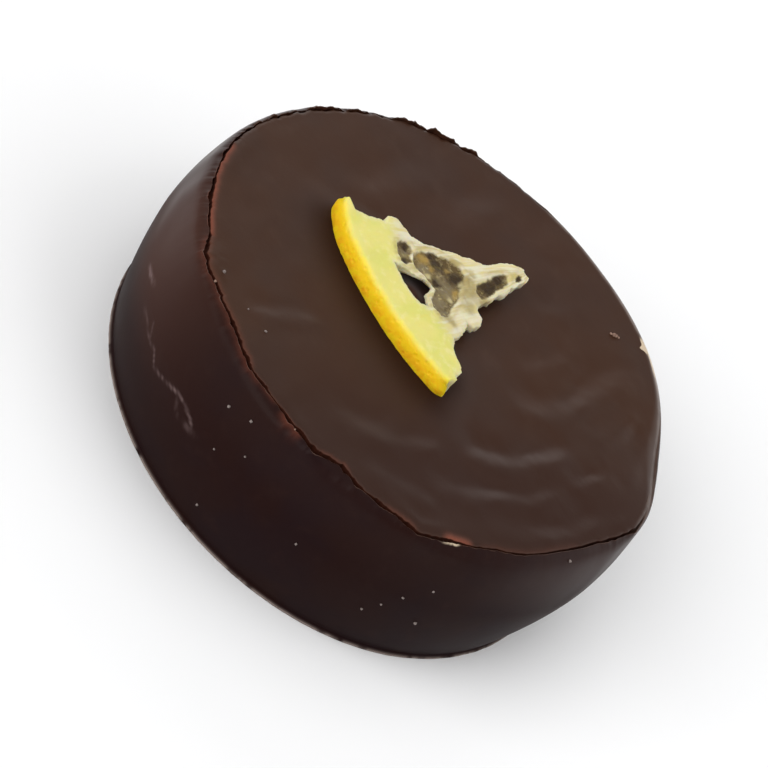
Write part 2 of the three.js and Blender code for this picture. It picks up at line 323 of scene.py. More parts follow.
# how far inside the rim's own line the crack lies: azimuth and mm
CRACK_INSET = [
    (-180, 0.0), (-157, 0.08), (-149, 0.34), (-137, 0.55), (-129, 0.48), (-119, 0.48), (-115, 0.30),
    (-108, 0.52), (-99, 0.75), (-93, 0.34), (-70, 0.30), (-44, 0.42), (-36, 0.27), (-16, 0.18),
    (-3, 0.05), (6, 0.0), (179, 0.0),
]
CRACK_WIDTH = 0.30
LEAST_WIDTH = 0.06


def raggedness(azimuth):
    """1 where the coat tore roughly, less at the front right, where it tore in a smooth line."""
    return 1 - 0.85 * bump(azimuth, -25, 28)


def crack_width(azimuth):
    """A few tenths of a millimetre, nearly closed at short bridges."""
    rough = raggedness(azimuth)
    width = CRACK_WIDTH + 0.14 * round_noise(azimuth, 46, 21) + 0.34 * rough * round_noise(azimuth, 210, 22)
    width = width + sum(wider * bump(azimuth, at, spread) for at, spread, wider in CRACK_CHANGES)
    bridges = 1 - smooth(round_noise(azimuth, 75, 28, 2), -0.42, -0.16)
    width = width * (1 - 0.7 * bridges * rough)
    # behind the flakes it is narrower
    return np.maximum(width - 0.12 * band(azimuth, 100, 112, 168, 180), LEAST_WIDTH)


def crack_wander(azimuth):
    """The crack isn't a smooth line: it jumps a little from grain to grain."""
    jagged = 0.20 * round_noise(azimuth, 90, 23) + 0.17 * round_noise(azimuth, 300, 24)
    return jagged * raggedness(azimuth)


def flake_height(azimuth):
    """How high the broken flakes stand up, steep at their ends."""
    uneven = 0.75 + 0.45 * round_noise(azimuth, 200, 25)
    return sum(high * uneven * band(azimuth, start - 0.5, start + 0.7, end - 0.4, end + 0.5)
               for start, end, high in FLAKES)


print("crack width in mm at three places:", np.round(crack_width(np.array([-160.0, -120.0, -55.0])), 2))

# %% The lines that the rings follow
SIDES = 1440
azimuth = np.linspace(-180, 180, SIDES, endpoint=False)
angle = np.radians(azimuth)
split = cracked(azimuth)
rough_tear = raggedness(azimuth)
crack_gap = crack_width(azimuth) * smooth(split, 0.05, 0.95)
rim = rim_line(azimuth, RIM_FINE)
crack_line = RIM_RADIUS + rim + (crack_wander(azimuth) - read_table(azimuth, CRACK_INSET)) * split
# the two broken edges don't follow each other exactly
sheet_edge = crack_line - crack_gap * (0.5 + 0.30 * rough_tear * round_noise(azimuth, 300, 34))
crest_edge = crack_line + crack_gap * (0.5 + 0.30 * rough_tear * round_noise(azimuth, 260, 35))
# the soft rim rolls over about this far, wider in one place, and droops a little there
roll_reach = 0.9 + 1.3 * bump(azimuth, 26, 14)
rim_droop = 0.40 * bump(azimuth, 20, 11)
rim_corner = RIM_RADIUS + CREST_WIDTH + rim
roll_end = wall_radius(azimuth, COOKIE_HEIGHT - roll_reach)
print("the soft rim rolls over", round(float(roll_reach.max()), 2), "mm at most")


# %% The roll of the soft rim
def roll_shift(past_corner):
    """How far a place moves in and down when the sharp corner becomes a roll."""
    share = np.clip(0.5 + past_corner / (2 * roll_reach), 0, 1)
    # the roll starts on the top, is drawn towards the corner, and ends on the wall
    before, at, after = (1 - share) ** 2, 2 * share * (1 - share), share**2
    inside = np.clip(1 - 2 * share, 0, 1) * roll_reach
    down = np.clip(2 * share - 1, 0, 1) * roll_reach
    sharp = np.where(down > 0, wall_radius(azimuth, COOKIE_HEIGHT - down), rim_corner - inside)
    rolled = before * (rim_corner - roll_reach) + at * rim_corner + after * roll_end
    return (rolled - sharp) * (1 - split), (down - after * roll_reach) * (1 - split)


Ring = namedtuple("Ring", "radius height zone in_crack past_corner")
rings = []


def add_ring(radius, height, zone, in_crack=0.0):
    """One more ring: where it is, its zone, and how deep in the crack it lies, from 0 to 1."""
    radius, height, in_crack, _ = np.broadcast_arrays(radius, height, in_crack, azimuth)
    on_top = zone in ("top", "break", "floor")
    past_corner = radius - rim_corner if on_top else np.maximum(COOKIE_HEIGHT - height, 0)
    inward, down = roll_shift(past_corner)
    rings.append(Ring(radius + inward, height + down, zone, in_crack, past_corner))


print("the corner moves in by", round(float(-roll_shift(0 * rim_corner)[0].min()), 2), "mm")

# %% [markdown]
# ### The top sheet
#
# While the coat was wet the lemon piece was pressed into it. The chocolate climbed a little
# against the rind, and welled up under the tear in the lemon. Both are low swellings of the
# sheet. At the crack the sheet's edge is rounded off, and where the rim stands out the
# sheet ends in a low lip.

# %% Rings of the top sheet
EDGE_ROLL = 0.35
EDGE_DROP = 0.08
LIP_HEIGHT = 0.06
COLLAR_HEIGHT = 0.24
COLLAR_REACH = 3.5
# where the coat welled up, and how high and how wide
WELL_X, WELL_Y = -4.8, 0.3
WELL_HEIGHT = 0.75
WELL_WIDTH = 1.7


def collar(x, y):
    """1 against the rind, where the wet coat climbed a little, and 0 away from it."""
    slice_x, slice_y = x - SLICE_CENTRE[0], y - SLICE_CENTRE[1]
    turned = np.abs(turn(SLICE_AZIMUTH, np.degrees(np.arctan2(slice_y, slice_x))))
    away = np.hypot(slice_x, slice_y)
    # towards its ends the rind lies further out
    outside = np.maximum(away - SLICE_RADIUS - 1.1 * smooth(turned, 6, 26), 0)
    return hill(outside, COLLAR_REACH) * (1 - smooth(turned, 28, 42)) * smooth(away, 14, 20)


def top_height(radius):
    """The top sheet's height, with its ripples, its swellings and the rounding at its edge."""
    x, y = radius * np.cos(angle), radius * np.sin(angle)
    ripples = ripple_height(x, y) * mix(0.35, 1, 1 - smooth(radius, 26.5, 28.2))
    well = WELL_HEIGHT * hill(np.hypot(x - WELL_X, y - WELL_Y), WELL_WIDTH)
    swell = well + COLLAR_HEIGHT * collar(x, y) - rim_droop * smooth(radius, 22.5, 29)
    from_edge = sheet_edge - radius
    lip = LIP_HEIGHT * hill(from_edge - 1.1, 0.8) * smooth(rim_line(azimuth, 2), 0.1, 0.8)
    drop = EDGE_DROP * np.clip(1 - from_edge / EDGE_ROLL, 0, 1) ** 2
    return COOKIE_HEIGHT + ripples + swell + (lip - drop) * split


# the rings crowd together at the edge
for share in [*np.linspace(0.006, 0.93, 92), *(1 - 0.07 * np.linspace(1, 0, 15)[1:-1] ** 1.5)]:
    add_ring(share * sheet_edge, top_height(share * sheet_edge), "top")
from_edge = float(np.mean(sheet_edge - rings[-1].radius))
print(len(rings), "rings in the top sheet, the last", round(from_edge, 3), "mm from its edge")

# %% [markdown]
# ### Down into the crack and up again
#
# Both faces of the crack are rough, as chocolate breaks like stone. Their rings keep a
# number for how deep they lie, so the material can paint shade inside. Along the soft rim the crack
# closes: its depth and width go to nothing, and its rings spread over the roll.

# %% The crack's two faces and its floor
CRACK_SHARES = [0.0, 0.07, 0.2, 0.45, 0.75, 0.95]
SOFT_SPREAD = 0.45
FACE_ROUGHNESS = 0.06
CREST_DROP = 0.02
depth = split * (1.05 - 0.40 * bump(azimuth, -140, 38) + 0.20 * round_noise(azimuth, 120, 26))
edge_height = top_height(sheet_edge)
crest_rough = 0.05 * rough_tear * round_noise(azimuth, 70, 27)
crest_height = edge_height - CREST_DROP + split * (crest_rough - 0.03 + flake_height(azimuth))
open_crack = smooth(split, 0.80, 1.0)


def add_break(edge, height, below, share, spread, seed):
    """One ring on a broken face: where the face starts, how far it is down and how far it leans."""
    wander = FACE_ROUGHNESS * split * rough_tear * round_noise(azimuth, 240, seed) * (share > 0)
    lean = SOFT_SPREAD * (1 - split) * spread
    add_ring(edge + wander + lean, height, "break", open_crack * smooth(below, 0.01, 0.07))


for number, share in enumerate(CRACK_SHARES):
    spread = number / len(CRACK_SHARES) - 1
    leaning = sheet_edge + 0.06 * crack_gap * share
    add_break(leaning, edge_height - depth * share, depth * share, share, spread, 30 + number)
add_ring(crack_line, edge_height - depth, "floor", open_crack)
for number, share in enumerate(reversed(CRACK_SHARES)):
    spread = (number + 1) / len(CRACK_SHARES)
    leaning = crest_edge - 0.06 * crack_gap * share
    height = mix(crest_height, edge_height - depth, share)
    below = np.minimum(crest_height, edge_height) - height
    add_break(leaning, height, below, share, spread, 40 + number)
print("the crack is", round(float(depth.max()), 2), "mm deep at most")

# %% [markdown]
# ## The wall and the foot
#
# Chocolate runs down the wall while it sets, so the wall has very low sagging waves and a few
# runs that stand out. Where the wet coat touched the belt it spread into a thin foot, a sharp
# lip that catches a bright line of light all round the bottom. Under it the base is flat.

# %% Wall rings
WALL_RINGS = 70
WALL_BOTTOM = 0.75
WALL_TOP = COOKIE_HEIGHT - CREST_DROP
CREST_ROUNDING = 2.0
DROOP_FADE = 2.5
ARC_PER_DEGREE = math.radians(1) * BELLY_RADIUS
# runs of chocolate on the wall: azimuth and height, then height and half width in mm
RUNS = [
    ([(-160.5, 19.6), (-160.2, 16.6), (-157.8, 15), (-155, 13.3), (-151.8, 11.1)], 0.19, 2.1),
    ([(-171, 19.6), (-169.5, 14), (-166, 8)], 0.10, 1.6),
    ([(-8, 19.6), (-12, 14.5), (-19, 9.5)], 0.10, 1.5),
    ([(60, 19), (66, 12), (63, 6)], 0.10, 1.6),
    ([(128, 19), (122, 13), (126, 7)], 0.10, 1.6),
]


def along_wall(path, azimuth, z):
    """Distance from a path on the wall and place along it. The wall is unrolled flat for that."""
    flat_path = [(at * ARC_PER_DEGREE, height) for at, height in path]
    return along(flat_path, azimuth * ARC_PER_DEGREE, z)[:2]


def wall_waves(azimuth, z):
    """Low sagging waves: wide round the wall, narrow up and down, none at the rim."""
    wave = 0.045 * round_noise(azimuth + 5 * np.sin(z / 5), 15, 51, 2)
    level = 0.020 * np.sin(z / 1.9 + 2.2 * round_noise(azimuth, 9, 52, 1))
    uneven = 0.5 + 0.5 * round_noise(azimuth, 12, 53, 1)
    height = (wave + level * uneven) * band(z, 0.4, 5, 16, 19.6)
    for path, high, width in RUNS:
        away, place = along_wall(path, azimuth, z)
        fade = (1 - smooth(place, 0.6, 1)) * (1 - smooth(z, 18.6, 19.8))
        height = height + high * hill(away, width) * fade
    return height


# outside the crack the coat is rounded off, from the crest down to the wall
bevel = np.maximum(wall_radius(azimuth, WALL_TOP) - crest_edge - 0.04, 0.05)
for step in range(WALL_RINGS + 1):
    # the rings crowd together under the rim, where the section turns
    z = mix(WALL_BOTTOM, WALL_TOP, 1 - (step / WALL_RINGS) ** 1.55)
    below_crest = COOKIE_HEIGHT - z
    height = z + (crest_height + rim_droop - WALL_TOP) * np.exp(-below_crest / 0.35)
    height = height - rim_droop * math.exp(-below_crest / DROOP_FADE)
    r = wall_radius(azimuth, z) + wall_waves(azimuth, z)
    r = r + crack_wander(azimuth) * split * math.exp(-below_crest / 0.25)
    r = r - split * bevel * max(0, 1 - below_crest / CREST_ROUNDING) ** 4
    # just below the crest the wall stays outside the crack
    too_near = np.maximum(crest_edge + 0.03 - r, 0) * split
    add_ring(r + too_near * (1 - smooth(below_crest, 0.1, 0.7)), height, "wall")
print("wall rings:", WALL_RINGS + 1)

# %% Foot rings
FOOT_LIP = 0.34
# the foot's section: how far out as a share of its reach, and the height
FOOT_SECTION = [(0.12, 0.58), (0.35, 0.42), (0.75, 0.30), (0.96, 0.20), (1.0, 0.12), (0.86, 0.05), (0.3, 0.0)]
uneven = 0.86 + 0.16 * round_noise(azimuth, 16, 61, 2) + 0.12 * round_noise(azimuth, 150, 62, 2)
foot_radius = wall_radius(azimuth, 0.4)
for out, z in FOOT_SECTION:
    add_ring(foot_radius + FOOT_LIP * uneven * out, z, "foot")
for share in [0.975, 0.9, 0.7, 0.4, 0.1]:
    add_ring(foot_radius * share, 0.0, "base")
print("rings in all:", len(rings), "and", SIDES * len(rings), "points")

# %% [markdown]
# ## From rings to a mesh
#
# A grid of rings becomes a mesh by joining each ring to the next with four-sided faces, and
# closing the middle of the top and of the base with fans. Beside its place, each point
# keeps a few numbers, such as how freshly broken or how scuffed the coat is there. Blender calls
# these attributes, and a material can read them by name.

# %% A mesh from points, faces and attributes
def add_to_scene(name, data):
    """A new object that shows a mesh, a lamp or a camera."""
    thing = bpy.data.objects.new(name, data)
    bpy.context.scene.collection.objects.link(thing)
    return thing


def mesh_object(name, points, faces, attributes=None, smooth_shading=True):
    """A new object with a mesh of its own. The points are in millimetres."""
    mesh = bpy.data.meshes.new(name)
    mesh.from_pydata(np.asarray(points) * MM, [], faces)
    for attribute, values in (attributes or {}).items():
        layer = mesh.attributes.new(attribute, "FLOAT", "POINT")
        layer.data.foreach_set("value", np.asarray(values, dtype=np.float32))
    if smooth_shading:
        mesh.shade_smooth()
    else:
        mesh.shade_flat()
    return add_to_scene(name, mesh)


def ring_faces(sides, count):
    """Faces between the rings, and a fan at each end. The first point is the top's middle."""
    side = np.arange(sides)
    after = (side + 1) % sides
    corners = np.stack([side, sides + side, sides + after, after], 1)
    faces = []
    for ring in range(count - 1):
        faces.extend((1 + ring * sides + corners).tolist())
    last = 1 + (count - 1) * sides
    faces.extend(np.stack([0 * side, 1 + side, 1 + after], 1).tolist())
    faces.extend(np.stack([0 * side + last + sides, last + after, last + side], 1).tolist())
    return faces


# %% Put the coat together
middle = [0, 0, float(rings[0].height.mean())]
ring_points = [np.stack([ring.radius * np.cos(angle), ring.radius * np.sin(angle), ring.height], 1)
               for ring in rings]
coat_points = np.concatenate([[middle], *ring_points, [[0, 0, 0]]])
coat_faces = ring_faces(SIDES, len(rings))
zones = np.concatenate([["top"], np.repeat([ring.zone for ring in rings], SIDES), ["base"]])
in_crack = np.concatenate([[0], *[ring.in_crack for ring in rings], [0]])
past_rim = np.concatenate([[-RIM_RADIUS], *[ring.past_corner for ring in rings], [COOKIE_HEIGHT]])
print("coat points:", coat_points.shape, "highest", round(coat_points[:, 2].max(), 2), "mm")

# %% [markdown]
# ## What the coat has been through
#
# A scuff is a path on the wall where something dragged over the coat: chocolate turns pale
# where it is rubbed, because the light scatters in the roughened skin. Freshly broken edges
# are lighter and redder than the coat, as no gloss lies on them; on the top at the upper left
# the lighter band beside the crack is partly a painted highlight. Both are written as numbers
# on the points: 0 is untouched, 1 is fully so.

# %% Scuffs
# paths on the wall: azimuth and height, then half width and strength
SCUFFS = [
    ([(-149.5, 11.3), (-145.5, 11.8), (-142, 12.4)], 0.26, 1.0),
    ([(-140.5, 10.1), (-135.5, 10.2), (-131.8, 9.9)], 0.15, 0.45),
    ([(-134.5, 11.4), (-133.2, 10.7), (-131.8, 9.9)], 0.14, 0.5),
    ([(-131.8, 9.9), (-129.2, 10.3), (-126.6, 9.3), (-124, 9.7), (-121.8, 10.3)], 0.13, 0.6),
    ([(-122.4, 10.1), (-118, 11.2), (-115.2, 11.3), (-112.2, 10.8), (-109.6, 10.0)], 0.17, 0.80),
    ([(-117.6, 10.9), (-116.2, 9.8), (-114.4, 9.2)], 0.24, 0.24),
    ([(-113.0, 9.6), (-110.6, 9.9), (-109.2, 10.2)], 0.34, 0.34),
    ([(64, 8.2), (71, 9.4), (78, 9.1)], 0.18, 0.5),
    ([(152, 12.4), (158, 11.2), (163, 11.6)], 0.18, 0.5),
]
coat_x, coat_y, coat_z = coat_points.T
coat_radius = np.hypot(coat_x, coat_y)
coat_azimuth = np.degrees(np.arctan2(coat_y, coat_x))
on_top, on_wall, on_foot = zones == "top", zones == "wall", zones == "foot"
scuff = np.zeros(len(coat_points))
grain = rough_noise(coat_azimuth * ARC_PER_DEGREE / 0.7 + 500, coat_z / 0.45, 71)
for path, half_width, strength in SCUFFS:
    away, place = along_wall(path, coat_azimuth, coat_z)
    fade = smooth(np.minimum(place, 1 - place), -0.1, 0.25)
    streak = hill(away, half_width) * (0.70 + 1.1 * grain) * fade
    scuff = np.maximum(scuff, strength * np.clip(streak, 0, 1) * on_wall)
print("scuffed points:", int((scuff > 0.2).sum()))

# %% Broken edges and a painted highlight
# where a reddish edge shows beside the crack, on the top at the upper left partly a painted highlight: from,
# to, how strong, which side, how wide in mm
RED_EDGES_AND_HIGHLIGHT = [
    (-176, -146, 0.85, "top", 0.42), (-148, -112, 0.24, "top", 0.45), (-146, -108, 0.30, "wall", 0.42),
    (-101.0, -94.5, 0.52, "wall", 0.55), (-57.4, -50.5, 0.95, "top", 0.55), (-72, -64, 0.25, "top", 0.4),
    (-90, -82, 0.25, "top", 0.35), (-108, -103, 0.30, "wall", 0.35), (-48, -20, 0.12, "top", 0.45),
    (150, 156, 0.25, "wall", 0.3), (118, 121, 0.2, "wall", 0.3),
]
point_azimuth = np.concatenate([[0], np.tile(azimuth, len(rings)), [0]])


def per_point(values):
    """A number that is given round the rim, for every point of the coat."""
    return np.interp(point_azimuth, azimuth, values, period=360)


from_crest = coat_radius - per_point(crest_edge)
beside = {
    "top": per_point(sheet_edge) - coat_radius,
    "wall": np.maximum(from_crest, (COOKIE_HEIGHT - coat_z) * 0.8),
}
patchy = 0.85 + 0.35 * round_noise(point_azimuth, 110, 72)
broken_and_highlight = (zones == "break") * (0.06 + 0.16 * bump(point_azimuth, -135, 35))
for start, end, strength, side, breadth in RED_EDGES_AND_HIGHLIGHT:
    over = band(point_azimuth, start - 1, start + 1.5, end - 1.5, end + 1)
    edge = strength * over * patchy * hill(np.maximum(beside[side], 0), breadth)
    broken_and_highlight = np.maximum(broken_and_highlight, edge * np.isin(zones, [side, "break"]))
broken_and_highlight = np.clip(broken_and_highlight * per_point(split), 0, 1)
broken_and_highlight[[0, -1]] = 0
print("broken points:", int((broken_and_highlight > 0.3).sum()))

# %% [markdown]
# ### Pale chips, a worn line and painted highlights
#
# The biscuit's colour shows in two small chips, one on the soft rim and one on the near rim.
# Beside the chip a thin edge of the soft rim is worn pale, because hands and boxes touch it first.
# The soft rim's light line and the bright line along the edge of the foot are painted highlights.

# %% Chips, wear, painted highlights and the foot's edge
CHIP_AZIMUTH = 54.3
CHIPPED_LINE_AZIMUTH = 49.5
RUBBED_AZIMUTH = 46
PALE_BREAK_AZIMUTH = -55.4
# how far past the rim's corner these marks begin and end, in mm, soft at both ends
SOFT_RIM_HIGHLIGHT_LINE = (-1.05, -0.60, 0.0, 0.4)
RUBBED_LINE = (-0.85, -0.50, 0.05, 0.30)
CHIPPED_LINE = (-0.66, -0.46, 0.0, 0.25)
soft_rim = 1 - per_point(split)
worn_grain = 0.75 + 0.7 * round_noise(point_azimuth, 180, 73)
soft_rim_highlight_strength = 0.36 + 0.20 * bump(point_azimuth, 66, 14) - 0.2 * bump(point_azimuth, 22, 12)
# painted highlight along the soft rim; the next line adds real wear beside the chip
wear_and_highlight = band(past_rim, *SOFT_RIM_HIGHLIGHT_LINE) * soft_rim * soft_rim_highlight_strength * worn_grain
wear_and_highlight = np.maximum(wear_and_highlight, bump(point_azimuth, RUBBED_AZIMUTH, 7.5) * band(past_rim, *RUBBED_LINE) * worn_grain)
# painted highlight along the edge of the foot
foot_patches = smooth(round_noise(point_azimuth, 150, 75), -0.60, 0.15)
wear_and_highlight = np.maximum(wear_and_highlight, on_foot * hill(coat_z - 0.17, 0.12) * foot_patches)
# the chip reaches further in at one place
chip_inner = -0.88 - 0.55 * bump(point_azimuth, CHIP_AZIMUTH - 1.0, 0.6)
chip = bump(point_azimuth, CHIP_AZIMUTH - 0.4, 2.1) * smooth(past_rim - chip_inner, -0.12, 0.12)
chip = chip * (1 - smooth(past_rim, 0.10, 0.40))
chipped_line = bump(point_azimuth, CHIPPED_LINE_AZIMUTH, 4.5) * band(past_rim, *CHIPPED_LINE)
pale_break = bump(point_azimuth, PALE_BREAK_AZIMUTH, 3.4) * hill(from_crest - 0.08, 0.24) * (coat_z > 19.4)
chip = np.maximum(np.maximum(chip, 0.75 * chipped_line), 0.42 * pale_break)
chip = np.clip(chip * (1.1 + 0.7 * round_noise(point_azimuth, 300, 74)), 0, 1)
print("pale chip points:", int((chip > 0.3).sum()))

# %% [markdown]
# ### Gloss, painted light and painted shade
#
# Hands and neighbours rub the front of the wall dull, while it keeps its gloss near the rim and
# at its sides. A warm painted light lies on the wall's left side, on the polished wall and on the
# coat under the thin edges of the lemon's tear. On the top the coat is painted darker towards the
# front right as painted shade, and darkest beside the rind as a painted shadow.

# %% Polish, painted light and painted shade
# where the wall is duller: azimuth, half width, how much
DULL_PLACES = [(-12, 40, 0.50), (-165, 30, 0.20), (90, 55, 0.50)]
at_sides = smooth(np.abs(turn(-90, point_azimuth)), 40, 85)
for middle, width, share in DULL_PLACES:
    at_sides = at_sides * (1 - share * bump(point_azimuth, middle, width))
polish = smooth(coat_z, 11.0, 18.0) * (0.06 + 0.66 * at_sides) * on_wall
polish = polish * (1 - 0.2 * smooth(coat_z, 19.1, 19.8) * per_point(split))
polish = polish * (1 - 0.5 * soft_rim * smooth(coat_z, 17, 19))
# painted warm light: the wall's left side and the polished wall are painted lighter and warmer, standing in
# for their sheen
painted_warm_light = 0.72 * bump(point_azimuth, -152, 24) * smooth(coat_z, 5, 13) * on_wall
painted_warm_light = np.maximum(painted_warm_light, 0.8 * polish) * (1 - 0.25 * smooth(coat_z, 19.0, 19.9) * per_point(split))
# painted light in the coat under the lemon's tear
painted_warm_light = np.maximum(painted_warm_light, hill(np.hypot(coat_x - WELL_X, coat_y - WELL_Y), 3.2) * on_top)
# painted shade: the top darker towards the front right
deep = smooth(0.66 * coat_x - 0.75 * coat_y, 3, 21) * on_top
# painted shadow: the top darker beside the rind
rind_painted_shadow = collar(coat_x, coat_y) * on_top
print("polished points:", int((polish > 0.5).sum()))

# %% The coat as an object
coat = mesh_object(
    "chocolate_coat", coat_points, coat_faces,
    {"scuff": scuff, "broken_and_highlight": broken_and_highlight, "wear_and_highlight": np.clip(wear_and_highlight, 0, 1), "pale_chip": chip, "crack_shade": in_crack,
     "polish": polish, "deep": deep, "rind_painted_shadow": rind_painted_shadow, "painted_warm_light": painted_warm_light},
)
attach(coat, "root")
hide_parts("coated_cookie")
print("coat:", len(coat.data.polygons), "faces")

# %% [markdown]
# ## Shader maths as Python
#
# A material is a graph of nodes, and sums with dozens of Math nodes are hard to
# read. The small class below wraps a socket, so that `a * b + 0.2` adds the nodes itself.
# Any other node comes from `node`, which takes its type, its settings and its inputs.

# %% A class that turns expressions into nodes
class Value:
    """A number that varies over the surface: an output socket in a node tree."""

    def __init__(self, finish, socket):
        self.finish = finish
        self.socket = socket

    def math(self, operation, *others, clamp=False):
        settings = {"operation": operation, "use_clamp": clamp}
        return self.finish.node("ShaderNodeMath", settings, dict(enumerate((self, *others))))[0]

    def __add__(self, other):
        return self.math("ADD", other)

    def __sub__(self, other):
        return self.math("SUBTRACT", other)

    def __rsub__(self, other):
        return self.finish.constant(other).math("SUBTRACT", self)

    def __mul__(self, other):
        return self.math("MULTIPLY", other)

    __radd__ = __add__
    __rmul__ = __mul__

    def clip(self):
        """The same number, held between 0 and 1."""
        return self.math("ADD", 0.0, clamp=True)

    def over(self, low, high):
        """0 below low, 1 above high, soft between."""
        settings = {"interpolation_type": "SMOOTHSTEP"}
        inputs = {"Value": self, "From Min": low, "From Max": high}
        return self.finish.node("ShaderNodeMapRange", settings, inputs)[0]


class Finish:
    """A new material, with helpers that add its nodes."""

    def __init__(self, name):
        self.material = bpy.data.materials.new(name)
        self.material.use_nodes = True
        self.tree = self.material.node_tree
        self.shader = self.tree.nodes["Principled BSDF"]

    def node(self, kind, settings=None, inputs=None):
        """A new node: its type, then its settings, then its inputs. Gives all its outputs."""
        made = self.tree.nodes.new(kind)
        for setting, value in (settings or {}).items():
            setattr(made, setting, value)
        for socket, value in (inputs or {}).items():
            self.feed(made.inputs[socket], value)
        return [Value(self, output) for output in made.outputs]

    def feed(self, socket, value):
        """Link a varying value to a socket, or set a plain one on it."""
        if isinstance(value, Value):
            self.tree.links.new(value.socket, socket)
        else:
            socket.default_value = value

    def constant(self, number):
        made = self.node("ShaderNodeValue")[0]
        made.socket.default_value = number
        return made

    def attribute(self, name):
        return self.node("ShaderNodeAttribute", {"attribute_name": name})[2]

    def blend(self, start, end, share):
        """A colour between two colours."""
        return self.node("ShaderNodeMix", {"data_type": "RGBA"}, {0: share, 6: start, 7: end})[2]

    def layers(self, ground, *coats):
        """A ground colour with others laid over it: each colour with its mask."""
        for tone, mask in coats:
            ground = self.blend(ground, tone, mask)
        return ground

    def place(self):
        """The point on the object, in metres."""
        return self.node("ShaderNodeTexCoord")[3]

    def noise(self, size_mm, detail=3.0):
        """Noise from 0 to 1 whose blotches are about size_mm across."""
        inputs = {"Vector": self.place(), "Scale": 1 / (size_mm * MM), "Detail": detail}
        return self.node("ShaderNodeTexNoise", None, inputs)[0]

    def relief(self, height, high_mm):
        """The normal of a surface that height lifts by up to high_mm."""
        inputs = {"Height": height, "Distance": high_mm * MM, "Strength": 1.0}
        return self.node("ShaderNodeBump", None, inputs)[0]

    def set(self, **sockets):
        """Inputs of the shader, with _ for the spaces in their names."""
        for socket, value in sockets.items():
            self.feed(self.shader.inputs[socket.replace("_", " ")], value)


def colour(red, green, blue):
    return (red, green, blue, 1.0)


print("shader class ready")

# %% [markdown]
# ## Dark chocolate
#
# Well tempered dark chocolate is deep brown with a satin skin: its light comes half from a
# broad soft sheen and half from its own colour. The sheen is grey, the colour is red-brown, so
# the same coat looks grey-brown where it mirrors the bright room and nearly black
# where it mirrors nothing. The finish therefore needs a true deep base colour and a
# moderate gloss, not a lighter brown. Faint blotches of bloom and a fine grain vary the
# colour, the gloss and the relief. The wall has a duller finish of its own, and its base
# colours are darker than the top's as painted shade.

# %% The coat's colours
COAT_WARM = colour(0.0410, 0.0158, 0.0072)
COAT_COOL = colour(0.0370, 0.0158, 0.0090)
COAT_BLOOM = colour(0.054, 0.026, 0.016)
# painted shade towards the front right of the top
COAT_PAINTED_FRONT_SHADE = colour(0.0250, 0.0088, 0.0052)
# painted shadow beside the rind
COAT_PAINTED_SHADOW = colour(0.0140, 0.0032, 0.0008)
# painted shade: the wall's base colours are darker than the top's
WALL_PAINTED_SHADE_WARM = colour(0.0150, 0.0055, 0.0048)
WALL_PAINTED_SHADE_COOL = colour(0.0130, 0.0055, 0.0062)
WALL_PAINTED_SHADE_BLOOM = colour(0.023, 0.010, 0.008)
BROKEN_CHOCOLATE = colour(0.180, 0.052, 0.030)
# painted warm light and sheen on the wall, and painted light under the lemon's tear
PAINTED_WARM_LIGHT = colour(0.064, 0.028, 0.020)
# painted shade inside the crack
CRACK_PAINTED_SHADE = colour(0.0320, 0.0058, 0.0018)
SCUFFED = colour(0.150, 0.100, 0.096)
# pale wear, and the painted highlights along the soft rim and the foot
WEAR_AND_HIGHLIGHT_TONE = colour(0.270, 0.215, 0.190)
PALE_CREAM = colour(0.60, 0.48, 0.34)
print("the top is", round(COAT_WARM[0] / WALL_PAINTED_SHADE_WARM[0], 2), "times as light as the wall")


# %% The coat's finish
def chocolate_finish(name, warm, cool, bloomed, roughness, sheen, tint):
    """Satin dark chocolate. Sheen and its tint are the same over the whole surface."""
    finish = Finish(name)
    blotches = finish.noise(9, 3)
    bloom = finish.noise(2.4, 4)
    grain = finish.noise(0.16, 2)
    scuff_mask, broken_and_highlight_mask = finish.attribute("scuff"), finish.attribute("broken_and_highlight")
    crack_shade_mask, rind_shadow_mask = finish.attribute("crack_shade"), finish.attribute("rind_painted_shadow")
    tone = finish.layers(
        warm,
        (cool, blotches.over(0.38, 0.66)),
        (bloomed, bloom.over(0.52, 0.80) * 0.35),
        # painted shade towards the front right of the top
        (COAT_PAINTED_FRONT_SHADE, finish.attribute("deep") * 0.85),
        # painted shadow beside the rind
        (COAT_PAINTED_SHADOW, rind_shadow_mask.clip()),
        # painted warm light
        (PAINTED_WARM_LIGHT, finish.attribute("painted_warm_light")),
        # broken edges, partly a painted highlight beside the crack at the upper left
        (BROKEN_CHOCOLATE, (broken_and_highlight_mask * (0.65 + 0.7 * grain)).clip()),
        # painted shade inside the crack
        (CRACK_PAINTED_SHADE, crack_shade_mask.clip()),
        (SCUFFED, scuff_mask.clip()),
        # wear, and painted highlights on the soft rim and the foot
        (WEAR_AND_HIGHLIGHT_TONE, finish.attribute("wear_and_highlight").clip()),
        (PALE_CREAM, finish.attribute("pale_chip").over(0.2, 0.6)),
    )
    gloss = roughness + 0.07 * blotches + 0.05 * bloom
    gloss = gloss + 0.35 * broken_and_highlight_mask + 0.20 * scuff_mask + 0.6 * crack_shade_mask + 0.45 * rind_shadow_mask
    skin = grain * 0.35 + finish.noise(0.7, 3) * 0.65
    finish.set(
        Base_Color=tone,
        Roughness=gloss.clip(),
        Normal=finish.relief(skin, 0.012),
        Specular_IOR_Level=sheen,
        Specular_Tint=tint,
        Coat_Weight=(finish.attribute("polish") * (0.75 + 0.35 * bloom)).clip(),
        Coat_Roughness=0.34,
    )
    return finish


top_finish = chocolate_finish(
    "dark_chocolate_top", COAT_WARM, COAT_COOL, COAT_BLOOM,
    roughness=0.28, sheen=0.27, tint=colour(1, 0.75, 0.66),
)
